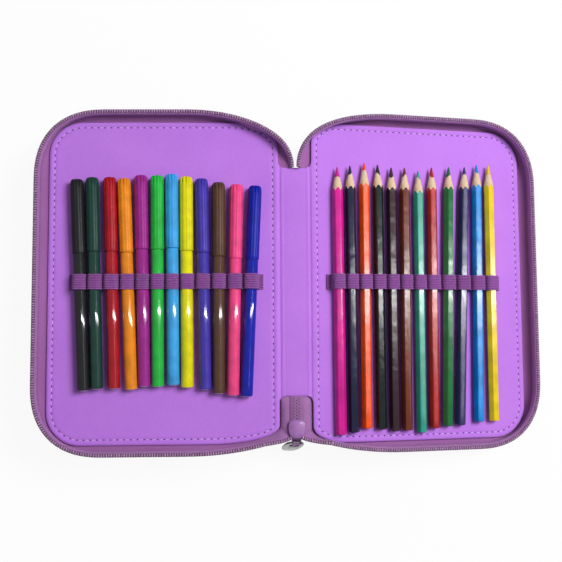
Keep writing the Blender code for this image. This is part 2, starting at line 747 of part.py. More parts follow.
def build_case():
    """Build the case from the table up and set its origin under the middle of its box."""
    case = make_empty("pencil_case", None)
    upper_end = upper_spine_width / 2 - upper_chain_offset
    upper_sections = leaf_sections(upper_end, (upper_sweep_reach, upper_sweep_drop),
                                   (tail_sweep_reach, upper_sweep_drop))
    lower_sections = leaf_sections(lower_chain_overhang, (lower_sweep_reach, lower_sweep_drop))

    # Base leaf, on the table
    base = make_empty("base_leaf", case, (0, 0, cover_leaf_thickness))
    _, base_frame = build_leaf_frame(base, "base_lining", finishes["lining"])
    build_cover("base_outer_cover", base_frame)
    build_zip(base_frame, "base_tape_wall", "base_zip_chain", lower_sections,
              cover_root_depth, lower_chain_height)

    # Lower spine, upright beside the closed lower deck
    lower_spine = make_empty("lower_spine_axis", base, (0, 0, 0), (0, -math.pi / 2, 0))
    place(spine_strip("lower_spine", lower_spine_width), lower_spine, finishes["outside"],
          (0, 0, -spine_thickness / 2))

    # Divider leaf: its lower side closes the lower deck and its upper side holds the pens
    divider = make_empty("divider_axis", lower_spine, (lower_spine_width, 0, 0), (0, math.pi / 2, 0))
    _, under_frame = build_leaf_frame(divider, "divider_lower_lining", finishes["lining"],
                                      rotation=(math.pi, 0, 0))
    build_zip(under_frame, "divider_lower_tape_wall", "divider_lower_zip_chain", lower_sections,
              divider_root_depth, lower_chain_height)
    place(flat_plate("divider_board", [leaf_outline()], board_thickness), divider, finishes["board"],
          (0, 0, divider_thickness / 2))
    _, upper_frame = build_leaf_frame(divider, "divider_upper_lining", finishes["lining"],
                                      location=(0, 0, divider_thickness))
    build_zip(upper_frame, "divider_upper_tape_wall", "divider_upper_zip_chain", upper_sections,
              divider_root_depth, upper_chain_height)
    pen_places = build_pens(upper_frame)
    place(elastic_strip("pen_elastic", pen_places, pen_radius, pen_rest_height), upper_frame,
          finishes["elastic"], (0, -elastic_drop, 0), (math.pi / 2, 0, 0))

    # Upper spine, flat between the two open leaves
    upper_spine = make_empty("upper_spine_axis", divider, (0, 0, divider_thickness))
    place(spine_strip("upper_spine", upper_spine_width), upper_spine, finishes["lining"],
          (0, 0, -spine_thickness / 2))
    place(tube("upper_zip_end", zip_end_path(), chain_radius), upper_spine, finishes["chain"])

    # Top leaf, mirrored and tilted down to the table
    top = make_empty("top_leaf_axis", upper_spine, (upper_spine_width, 0, 0), (0, cover_tilt, 0))
    _, top_frame = build_leaf_frame(top, "top_lining", finishes["lining"], side=1)
    build_cover("top_outer_cover", top_frame, side=1)
    build_zip(top_frame, "top_tape_wall", "top_zip_chain", upper_sections,
              cover_root_depth, upper_chain_height, side=1)
    pencil_places = build_pencils(top_frame)
    place(elastic_strip("pencil_elastic", pencil_places, pencil_radius, pencil_rest_height), top_frame,
          finishes["elastic"], (0, -elastic_drop, 0), (math.pi / 2, 0, 0))

    # Sliders: the upper one at the open end of its zip, the lower one at the closed end of its run
    leg_height = math.sqrt(upper_chain_height ** 2 - upper_end ** 2)
    build_slider("upper_zip_slider", "upper_zip_pull", upper_spine,
                 (upper_spine_width / 2, upper_slider_inset - leaf_half_height, leg_height),
                 (0, 0, 0), upper_pull_degrees)
    build_slider("lower_zip_slider", "lower_zip_pull", divider,
                 (-lower_slider_place, leaf_half_height + end_splay, -lower_spine_width / 2),
                 (math.pi / 2, -math.pi / 2, 0), lower_pull_degrees)

    low, high = model_bounds()
    case.location = (-(low[0] + high[0]) / 2, -(low[1] + high[1]) / 2, -low[2])
    bpy.context.view_layer.update()


for old in list(bpy.data.objects):
    bpy.data.objects.remove(old)
model = bpy.data.collections.new("pencil_case")
cutters = bpy.data.collections.new("cutters")
bpy.context.scene.collection.children.link(model)
bpy.context.scene.collection.children.link(cutters)

finishes = {
    "lining": make_material("lining_fabric", (190, 124, 232), 0.8),
    "outside": make_material("outer_fabric", (122, 74, 150), 0.75),
    "tape": make_material("zip_tape", (168, 112, 176), 0.85),
    "chain": make_material("zip_chain", (134, 104, 142), 0.5),
    "board": make_material("stiffening_board", (150, 140, 130), 0.9),
    "elastic": make_material("elastic", (140, 80, 156), 0.85),
    "slider": make_material("slider_enamel", (140, 84, 160), 0.35, 0.3),
    "pull": make_material("pull_metal", (110, 106, 108), 0.35, 0.8),
}
build_case()

for joint_axis in model.objects:
    if joint_axis.type == "EMPTY":
        print("AXIS", joint_axis.name, [round(value, 6) for value in joint_axis.matrix_world.translation])
print("TILT", round(math.degrees(cover_tilt), 5))
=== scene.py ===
"""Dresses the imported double-decker pencil case for rendering.

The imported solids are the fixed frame. Each sub-assembly of the case has a class below that builds its
fabric, zips, pens and pencils from its own sizes, in metres, and hands the pieces to the bodies that
carry them. A leaf is built flat in its own frame, with the fold on the y axis, the lining's face at
z = 0 and the leaf reaching towards -x, and its LeafPlace then sets it in the case.
"""
import json
import logging
import math
from dataclasses import dataclass, field
from enum import Enum
from typing import Callable, Optional, Sequence, Union

import bmesh
import bpy
import numpy as np
from bmesh.types import BMesh
from bpy.types import Material
from mathutils import Euler, Matrix, Vector


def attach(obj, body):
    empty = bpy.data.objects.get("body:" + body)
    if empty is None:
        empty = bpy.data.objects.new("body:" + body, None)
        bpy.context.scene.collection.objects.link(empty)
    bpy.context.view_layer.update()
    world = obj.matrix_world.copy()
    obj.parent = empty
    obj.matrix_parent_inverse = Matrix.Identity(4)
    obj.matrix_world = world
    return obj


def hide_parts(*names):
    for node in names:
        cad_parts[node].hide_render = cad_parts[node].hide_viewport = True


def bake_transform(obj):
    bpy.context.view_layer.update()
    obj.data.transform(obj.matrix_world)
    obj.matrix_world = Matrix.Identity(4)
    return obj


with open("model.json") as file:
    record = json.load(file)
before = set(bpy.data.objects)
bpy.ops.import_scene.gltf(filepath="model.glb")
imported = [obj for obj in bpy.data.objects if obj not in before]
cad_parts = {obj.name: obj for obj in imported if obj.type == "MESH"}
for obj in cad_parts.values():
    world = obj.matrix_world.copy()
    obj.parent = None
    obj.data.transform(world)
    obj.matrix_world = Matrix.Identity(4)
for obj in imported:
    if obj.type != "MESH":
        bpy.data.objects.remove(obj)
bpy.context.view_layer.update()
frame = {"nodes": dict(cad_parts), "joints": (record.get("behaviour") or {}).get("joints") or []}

log = logging.getLogger("pencil_case")

Colour = tuple[float, float, float]
Points = np.ndarray
Line = list[tuple[float, float]]
Socket = bpy.types.NodeSocket
Carrier = Union[str, tuple[str, str, Vector, Vector]]

WELD = 0.000002
BATCH = 48
UP = (0.0, 0.0, 1.0)
RIGHT = (1.0, 0.0, 0.0)


def joint(name: str) -> dict:
    """Return a packed joint."""
    return next(item for item in frame["joints"] if item["name"] == name)


class Side(Enum):
    """The way a leaf reaches from its fold."""

    LEFT = -1
    RIGHT = 1


# ---------------------------------------------------------------------------
# Shader nodes and finishes
# ---------------------------------------------------------------------------

def linear(colour: Colour) -> tuple[float, float, float, float]:
    """Turn 8-bit screen values into a linear shader colour with an alpha of one."""
    levels = (value / 255 for value in colour)
    curve = (level / 12.92 if level <= 0.04045 else ((level + 0.055) / 1.055) ** 2.4 for level in levels)
    return (*curve, 1.0)


class Graph:
    """Adds nodes to one node tree and links them."""

    def __init__(self, tree: bpy.types.NodeTree) -> None:
        """Keep the tree that the nodes go into."""
        self.tree = tree

    def feed(self, node: bpy.types.Node, inputs: dict) -> bpy.types.Node:
        """Set or link a node's inputs.

        Args:
            node: the node that takes them.
            inputs: values or sockets, by the input's name or number.

        Returns:
            The same node.
        """
        for key, value in inputs.items():
            if isinstance(value, Socket):
                self.tree.links.new(value, node.inputs[key])
            else:
                node.inputs[key].default_value = value
        return node

    def node(self, kind: str, inputs: Optional[dict] = None, **settings: object) -> bpy.types.Node:
        """Add a node.

        Args:
            kind: the node's type name without its ShaderNode prefix.
            inputs: values or sockets for its inputs.
            settings: properties of the node itself.

        Returns:
            The new node.
        """
        node = self.tree.nodes.new("ShaderNode" + kind)
        for key, value in settings.items():
            setattr(node, key, value)
        return self.feed(node, inputs or {})

    def math(self, operation: str, first: object, second: object = 0.0) -> Socket:
        """Add a Math node and return its value."""
        return self.node("Math", {0: first, 1: second}, operation=operation).outputs[0]

    def times(self, first: object, second: object) -> Socket:
        """Multiply two values."""
        return self.math("MULTIPLY", first, second)

    def plus(self, first: object, second: object) -> Socket:
        """Add two values."""
        return self.math("ADD", first, second)

    def spread(self, value: object, low: float, high: float, out_low: float = 0.0,
               out_high: float = 1.0) -> Socket:
        """Map a value from one range to another, clamped."""
        return self.node("MapRange", {0: value, 1: low, 2: high, 3: out_low, 4: out_high}).outputs[0]

    def mix(self, share: object, first: Union[Colour, Socket], second: Union[Colour, Socket]) -> Socket:
        """Mix two colours by a share."""
        ends = [end if isinstance(end, Socket) else linear(end) for end in (first, second)]
        return self.node("Mix", {0: share, 6: ends[0], 7: ends[1]}, data_type="RGBA").outputs[2]

    def noise(self, place: Socket, scale: object, detail: float) -> Socket:
        """Add a noise texture and return its value."""
        return self.node("TexNoise", {"Vector": place, "Scale": scale, "Detail": detail}).outputs[0]

    def bump(self, height: Socket, distance: float, strength: float = 1.0) -> Socket:
        """Turn a height into a normal."""
        return self.node("Bump", {"Height": height, "Distance": distance, "Strength": strength}).outputs[0]


def make_group(name: str, size: tuple[str, float],
               build: Callable[[Graph, Socket, Socket], dict[str, Socket]]) -> bpy.types.NodeTree:
    """Make a shader node group that takes a vector and a size.

    Args:
        name: the group's name.
        size: the second input's name and default.
        build: gives the outputs by name from the graph and both inputs.

    Returns:
        The group.
    """
    tree = bpy.data.node_groups.new(name, "ShaderNodeTree")
    tree.interface.new_socket(name="Vector", in_out="INPUT", socket_type="NodeSocketVector")
    socket = tree.interface.new_socket(name=size[0], in_out="INPUT", socket_type="NodeSocketFloat")
    socket.default_value = size[1]
    graph, source = Graph(tree), tree.nodes.new("NodeGroupInput")
    outputs = build(graph, source.outputs[0], source.outputs[1])
    for label in outputs:
        tree.interface.new_socket(name=label, in_out="OUTPUT", socket_type="NodeSocketFloat")
    graph.feed(tree.nodes.new("NodeGroupOutput"), outputs)
    return tree


def weave(graph: Graph, place: Socket, pitch: Socket) -> dict[str, Socket]:
    """Weave round threads: the cloth's height, and which thread is on top."""
    parts = graph.node("SeparateXYZ", {0: place}).outputs
    turns = [graph.times(graph.math("DIVIDE", part, pitch), math.pi) for part in parts[:2]]
    waves = [graph.math("SINE", turn) for turn in turns]
    warp, weft = (graph.math("ABSOLUTE", wave) for wave in waves)
    over = graph.math("GREATER_THAN", graph.times(*waves), 0.0)
    under = graph.math("SUBTRACT", 1.0, over)
    return {"Height": graph.plus(graph.times(warp, over), graph.times(weft, under)), "Over": over}


def mottle(graph: Graph, place: Socket, scale: Socket) -> dict[str, Socket]:
    """Vary a dye: a broad cloudiness and a fine grain."""
    broad, fine = graph.noise(place, scale, 3.0), graph.noise(place, graph.times(scale, 22.0), 2.0)
    return {"Broad": graph.spread(broad, 0.32, 0.68), "Fine": graph.spread(fine, 0.3, 0.7)}


def scuff(graph: Graph, place: Socket, scale: Socket) -> dict[str, Socket]:
    """Mark a handled hard piece: hairline scratches and dull patches."""
    settings = {"Vector": place, "Rotation": (0.3, 0.9, 0.5), "Scale": (1.0, 0.06, 0.3)}
    lines = graph.noise(graph.node("Mapping", settings).outputs[0], graph.times(scale, 6.0), 4.0)
    return {"Scratches": graph.spread(lines, 0.64, 0.72),
            "Dullness": graph.spread(graph.noise(place, scale, 3.0), 0.35, 0.7)}


WEAVE = make_group("plain_weave", ("Pitch", 0.0005), weave)
MOTTLE = make_group("uneven_dye", ("Scale", 60.0), mottle)
SCUFF = make_group("handling_marks", ("Scale", 300.0), scuff)


@dataclass(frozen=True)
class Finish:
    """What every finish has: a name, a colour and a material that its kind's inputs make."""

    name: str
    colour: Colour

    def tint(self, factor: float, extra: float = 0.0) -> Colour:
        """Return the colour made darker by a factor or paler by an amount."""
        return tuple(min(255.0, value * factor + extra) for value in self.colour)

    def make(self) -> Material:
        """Build the material."""
        material = bpy.data.materials.new(self.name)
        material.use_nodes = True
        graph = Graph(material.node_tree)
        where = graph.node("TexCoord").outputs
        graph.feed(graph.tree.nodes["Principled BSDF"], self.inputs(graph, where["Object"], where["UV"]))
        return material

    def inputs(self, graph: Graph, place: Socket, flat: Socket) -> dict[str, object]:
        """Return the shader's inputs.

        Args:
            graph: the graph that their nodes go into.
            place: the piece's own coordinates.
            flat: its UV map.

        Returns:
            Values or sockets by the input's name.
        """
        raise NotImplementedError


@dataclass(frozen=True)
class FabricFinish(Finish):
    """A woven cloth: its two thread colours, thread pitch, relief, sheen and unevenness, and for ribbed
    cloth a painted shade in the grooves between the ribs.
    """

    shade: Colour
    pitch: float = 0.00045
    relief: float = 0.00005
    roughness: float = 0.82
    sheen: float = 0.25
    heather: float = 0.12
    cloud: float = 0.25
    cloud_scale: float = 28.0
    pucker: float = 0.00012
    ribs: float = 0.0
    painted_groove_shade: float = 0.85

    def inputs(self, graph: Graph, place: Socket, flat: Socket) -> dict[str, object]:
        """Return the shader's inputs: the weave follows the UV map, which is in metres."""
        cloth = graph.node("Group", {"Vector": flat, "Pitch": self.pitch}, node_tree=WEAVE).outputs
        dye = graph.node("Group", {"Vector": place, "Scale": self.cloud_scale}, node_tree=MOTTLE).outputs
        share = graph.plus(graph.times(cloth["Over"], self.heather), graph.times(dye["Broad"], self.cloud))
        share = graph.plus(share, graph.times(dye["Fine"], self.heather))
        # For ribbed cloth the grooves between the ribs are mixed towards the darker colour: painted shade
        # in the grooves.
        if self.ribs:
            across = graph.node("SeparateXYZ", {0: flat}).outputs[1]
            crest = graph.math("ABSOLUTE", graph.math("SINE", graph.times(across, math.pi / self.ribs)))
            share = graph.plus(share, graph.spread(crest, 0.1, 0.75, self.painted_groove_shade, 0.0))
        height = graph.plus(graph.times(cloth["Height"], self.relief / self.pucker), dye["Broad"])
        return {"Base Color": graph.mix(share, self.colour, self.shade),
                "Roughness": graph.spread(dye["Fine"], 0.0, 1.0, self.roughness - 0.08,
                                          min(1.0, self.roughness + 0.08)),
                "Normal": graph.bump(height, self.pucker), "Sheen Weight": self.sheen,
                "Sheen Roughness": 0.45, "Specular IOR Level": 0.25}


@dataclass(frozen=True)
class ThreadFinish(Finish):
    """A twisted sewing thread or a moulded nylon coil."""

    shade: Colour
    roughness: float = 0.5
    scale: float = 900.0

    def inputs(self, graph: Graph, place: Socket, flat: Socket) -> dict[str, object]:
        """Return the shader's inputs on the piece's own coordinates."""
        twist = graph.noise(place, self.scale, 2.0)
        share = graph.spread(twist, 0.35, 0.65)
        return {"Base Color": graph.mix(share, self.colour, self.shade),
                "Roughness": graph.spread(share, 0.0, 1.0, self.roughness - 0.1, self.roughness + 0.15),
                "Normal": graph.bump(twist, 0.0001, 0.6)}


@dataclass(frozen=True)
class PlasticFinish(Finish):
    """A moulded plastic with handling marks."""

    roughness: float = 0.24
    coat: float = 0.1
    gloss: float = 0.32
    relief: float = 0.00006

    def inputs(self, graph: Graph, place: Socket, flat: Socket) -> dict[str, object]:
        """Return the shader's inputs on the piece's own coordinates."""
        marks = graph.node("Group", {"Vector": place, "Scale": 120.0}, node_tree=SCUFF).outputs
        tone = graph.mix(marks["Dullness"], self.colour, self.tint(0.88))
        rough = graph.plus(graph.times(marks["Dullness"], 0.08), graph.times(marks["Scratches"], 0.12))
        return {"Base Color": graph.mix(graph.times(marks["Scratches"], 0.35), tone, self.tint(1.0, 12)),
                "Roughness": graph.plus(rough, self.roughness),
                "Normal": graph.bump(graph.times(marks["Scratches"], -0.1), self.relief),
                "Coat Weight": self.coat, "Coat Roughness": 0.08, "Specular IOR Level": self.gloss}


@dataclass(frozen=True)
class PaintFinish(Finish):
    """A pencil's lacquer: thick, glossy and slightly uneven."""

    roughness: float = 0.125
    gloss: float = 0.42

    def inputs(self, graph: Graph, place: Socket, flat: Socket) -> dict[str, object]:
        """Return the shader's inputs on the piece's own coordinates."""
        dye = graph.node("Group", {"Vector": place, "Scale": 90.0}, node_tree=MOTTLE).outputs
        marks = graph.node("Group", {"Vector": place}, node_tree=SCUFF).outputs
        tone = graph.mix(dye["Broad"], self.colour, self.tint(0.86))
        return {"Base Color": graph.mix(graph.times(marks["Scratches"], 0.3), tone, self.tint(1.0, 14)),
                "Roughness": graph.plus(graph.times(marks["Dullness"], 0.1), self.roughness),
                "Normal": graph.bump(dye["Broad"], 0.00008), "Specular IOR Level": self.gloss}


@dataclass(frozen=True)
class WoodFinish(Finish):
    """Bare sharpened wood with fine streaks along the pencil."""

    shade: Colour

    def inputs(self, graph: Graph, place: Socket, flat: Socket) -> dict[str, object]:
        """Return the shader's inputs: the grain follows the UV map along the pencil."""
        fine = graph.node("Mapping", {"Vector": flat, "Scale": (20.0, 90.0, 1.0)})
        share = graph.spread(graph.noise(fine.outputs[0], 3.0, 5.0), 0.38, 0.7)
        return {"Base Color": graph.mix(share, self.colour, self.shade),
                "Roughness": graph.spread(share, 0.0, 1.0, 0.6, 0.8),
                "Normal": graph.bump(share, 0.00012)}


@dataclass(frozen=True)
class LeadFinish(Finish):
    """A waxy coloured lead with shavings' streaks."""

    def inputs(self, graph: Graph, place: Socket, flat: Socket) -> dict[str, object]:
        """Return the shader's inputs on the piece's own coordinates."""
        share = graph.spread(graph.noise(place, 1600.0, 3.0), 0.3, 0.7)
        return {"Base Color": graph.mix(share, self.colour, self.tint(0.8)),
                "Roughness": graph.spread(share, 0.0, 1.0, 0.42, 0.62),
                "Normal": graph.bump(share, 0.00006)}


@dataclass(frozen=True)
class EnamelFinish(Finish):
    """A painted or clouded hard piece of the zip."""

    roughness: float = 0.35
    coat: float = 0.4
    see_through: float = 0.0

    def inputs(self, graph: Graph, place: Socket, flat: Socket) -> dict[str, object]:
        """Return the shader's inputs with handling marks."""
        marks = graph.node("Group", {"Vector": place, "Scale": 250.0}, node_tree=SCUFF).outputs
        dull = graph.times(marks["Dullness"], 0.5)
        return {"Base Color": graph.mix(dull, self.colour, self.tint(1.0, 35)),
                "Roughness": graph.plus(graph.times(marks["Scratches"], 0.2), self.roughness),
                "Normal": graph.bump(marks["Scratches"], 0.00003), "Coat Weight": self.coat,
                "Transmission Weight": self.see_through}


# ---------------------------------------------------------------------------
# Mesh helpers
# ---------------------------------------------------------------------------

def bend_grid(work: BMesh, points: Points, marks: Points,
              materials: Optional[Callable[[int, int], int]] = None) -> None:
    """Add a grid and bend it into place.

    Args:
        work: the mesh that takes it.
        points: places by column and row, with three coordinates each.
        marks: the UV map's values by column and row, in metres or turns.
        materials: gives the material number of a face by its column and row.
    """
    columns, rows = points.shape[0] - 1, points.shape[1] - 1
    layer = work.loops.layers.uv.verify()
    made = bmesh.ops.create_grid(work, x_segments=columns, y_segments=rows, size=0.5)["verts"]
    faces = {face for vertex in made for face in vertex.link_faces}
    spots = {vertex: (round((vertex.co.x + 0.5) * columns), round((vertex.co.y + 0.5) * rows))
             for vertex in made}
    for face in faces:
        middle = face.calc_center_median()
        if materials:
            face.material_index = materials(int((middle.x + 0.5) * columns), int((middle.y + 0.5) * rows))
        for loop in face.loops:
            column, row = spots[loop.vert]
            loop[layer].uv = marks[column, row]
    for vertex, (column, row) in spots.items():
        vertex.co = points[column, row]


def add_piece(work: BMesh, name: str, finishes: Sequence[Material], carrier: Carrier,
              nodes: Sequence[str] = (), sharp: float = 50.0) -> None:
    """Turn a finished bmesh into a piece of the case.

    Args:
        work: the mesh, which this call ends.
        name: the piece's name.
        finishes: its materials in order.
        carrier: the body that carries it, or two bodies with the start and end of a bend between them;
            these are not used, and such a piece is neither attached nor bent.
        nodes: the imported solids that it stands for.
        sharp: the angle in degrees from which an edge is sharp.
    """
    bmesh.ops.remove_doubles(work, verts=work.verts, dist=WELD)
    bmesh.ops.recalc_face_normals(work, faces=work.faces)
    mesh = bpy.data.meshes.new(name)
    work.to_mesh(mesh)
    work.free()
    for finish in finishes:
        mesh.materials.append(finish)
    mesh.shade_smooth()
    mesh.set_sharp_from_angle(angle=math.radians(sharp))
    piece = bpy.data.objects.new(name, mesh)
    bpy.context.scene.collection.objects.link(piece)
    if isinstance(carrier, str):
        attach(piece, carrier)
    else:
        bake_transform(piece)
    if nodes:
        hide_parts(*nodes)
    log.info("%s: %d faces", name, len(mesh.polygons))


def close_ends(work: BMesh) -> None:
    """Weld the seams and fill every open end of the mesh."""
    bmesh.ops.remove_doubles(work, verts=work.verts, dist=WELD)
    rims = [edge for edge in work.edges if edge.is_boundary]
    if rims:
        bmesh.ops.holes_fill(work, edges=rims, sides=0)


def merge_layer(work: BMesh, layer: BMesh, material: int = 0) -> None:
    """Move a finished layer's faces into another mesh.

    Args:
        work: the mesh that takes them.
        layer: the layer, which this call ends.
        material: their material number, where it isn't the first.
    """
    if material:
        for face in layer.faces:
            face.material_index = material
    extra = bpy.data.meshes.new("layer")
    layer.to_mesh(extra)
    layer.free()
    work.from_mesh(extra)
    bpy.data.meshes.remove(extra)


def add_beads(work: BMesh, spots: Points, along: Sequence, up: Sequence[float], sizes: Colour,
              material: int = 0, segments: int = 6, rings: int = 4) -> None:
    """Add small rounded beads in layers of a few dozen: an operator slows down as its mesh grows.

    Args:
        work: the mesh that takes them.
        spots: their middles.
        along: the way that their first size points, for each or for all.
        up: roughly the way that their third size points.
        sizes: their half sizes along, across and up.
        material: their material number.
        segments: a bead's facets round.
        rings: its facets from pole to pole.
    """
    along = np.broadcast_to(along, spots.shape)
    for start in range(0, len(spots), BATCH):
        layer = bmesh.new()
        for spot, way in zip(spots[start:start + BATCH], along[start:start + BATCH]):
            first = Vector(way).normalized()
            across = Vector(up).cross(first).normalized()
            axes = (first, across, first.cross(across))
            turn = Matrix([axis * size for axis, size in zip(axes, sizes)]).transposed().to_4x4()
            bmesh.ops.create_uvsphere(layer, u_segments=segments, v_segments=rings, radius=1.0,
                                      matrix=Matrix.Translation(Vector(spot)) @ turn)
        merge_layer(work, layer, material)


def rounded(turns: Points, power: float) -> tuple[Points, Points]:
    """Return both coordinates of a superellipse at angles in radians; a power of two makes a circle."""
    return tuple(np.sign(wave) * np.abs(wave) ** (2 / power) for wave in (np.cos(turns), np.sin(turns)))


def arc(centre: tuple[float, float], radii: tuple[float, float], start: float, end: float, steps: int,
        power: float = 2.0) -> Line:
    """List the points of a rounded corner, from one angle in degrees to another."""
    across, along = rounded(np.radians(np.linspace(start, end, steps + 1)), power)
    return [(centre[0] + radii[0] * x, centre[1] + radii[1] * y) for x, y in zip(across, along)]


def travel(path: Points) -> Points:
    """Return how far along a path each of its points is, in metres."""
    return np.concatenate([[0.0], np.cumsum(np.linalg.norm(np.diff(path, axis=0), axis=1))])


def points_at(path: Points, spots: Points) -> Points:
    """Return the points at given distances along a path."""
    far = travel(path)
    return np.column_stack([np.interp(spots, far, values) for values in path.T])


def resample(path: Points, step: float, offset: float = 0.0) -> Points:
    """Space points evenly along a path.

    Args:
        path: its points, by row.
        step: the wanted distance between the new points.
        offset: the share of a step before the first one.

    Returns:
        The new points.
    """
    length = travel(path)[-1]
    count = max(1, round(length / step))
    return points_at(path, (np.arange(count + (0 if offset else 1)) + offset) * length / count)


def unit(vectors: Points) -> Points:
    """Scale each vector to a length of one."""
    return vectors / np.maximum(np.linalg.norm(vectors, axis=-1, keepdims=True), 1e-12)


def ways(path: Points) -> Points:
    """Return the way that a path runs at each of its points."""
    return unit(np.gradient(path, axis=0))


def cross_marks(columns: Points, rows: Points) -> Points:
    """Return a grid's UV values from those of its columns and of its rows."""
    return np.stack(np.broadcast_arrays(columns[:, None], rows[None, :]), axis=-1)


def swept(path: Points, side: Points, up: Points, loop: Points) -> Points:
    """Return the points of a section carried along a path.

    Args:
        path: the points of the path.
        side: the section's first direction, at each point or for all.
        up: its second direction.
        loop: the section's points, as amounts of side and up.

    Returns:
        Points by the path's and by the section's points.
    """
    side, up = np.atleast_2d(side)[:, None, :], np.atleast_2d(up)[:, None, :]
    return path[:, None, :] + side * loop[None, :, 0, None] + up * loop[None, :, 1, None]


def ribbon(work: BMesh, path: Points, side: Points, up: Points, section: Sequence,
           material: Optional[int] = None) -> None:
    """Sweep a closed section along a path and fill its ends.

    Args:
        work: the mesh that takes it.
        path: the points of the path.
        side: the section's first direction.
        up: its second direction.
        section: its points, as amounts of side and up; the last one joins the first.
        material: its material number, where the mesh already holds other pieces.
    """
    layer = work if material is None else bmesh.new()
    loop = np.vstack([section, section[:1]])
    bend_grid(layer, swept(path, side, up, loop), cross_marks(travel(path), travel(loop)))
    close_ends(layer)
    if material is not None:
        merge_layer(work, layer, material)


# ---------------------------------------------------------------------------
# Leaves
# ---------------------------------------------------------------------------

# Sections in metres: insets and heights of a leaf's edges, and the zip tape's edge beside the chain.
COVER = ((0.0007, -0.00095), (0.0002, -0.0011), (0.0, -0.0016), (0.0, -0.0022), (0.0003, -0.0028),
         (0.0010, -0.0032), (0.0022, -0.0033), (0.0034, -0.00322), (0.0038, -0.0030), (0.0042, -0.00322),
         (0.0055, -0.0033), (0.0100, -0.0033))
BINDING = ((0.0012, -0.00092), (0.0004, -0.00092), (0.0, -0.0013), (-0.0001, -0.0019), (0.0, -0.0025),
           (0.0004, -0.00288), (0.0012, -0.0029), (0.0060, -0.0029))
FLANGE = ((-0.0008, -0.0009), (-0.0008, -0.0005), (0.0010, -0.0003), (0.0015, -0.0003), (0.0018, -0.0008),
          (0.0020, -0.0020), (0.0019, -0.0034), (0.0015, -0.0034), (0.0016, -0.0020), (0.0014, -0.0010),
          (0.0010, -0.0007))


@dataclass(frozen=True)
class LeafPlace:
    """Where a leaf lies in the case: its fold, its turn and the way it reaches."""

    origin: Vector
    turn: Matrix
    side: Side = Side.LEFT

    def world(self, points: Points) -> Points:
        """Set points of the leaf's own frame in the case."""
        points = np.asarray(points, float)
        mirror = np.array([-self.side.value, 1.0, 1.0])
        return (points * mirror) @ np.array(self.turn).T + np.array(self.origin)

    def direction(self, vectors: Points) -> Points:
        """Turn directions of the leaf's own frame into the case's."""
        return self.world(vectors) - np.array(self.origin)


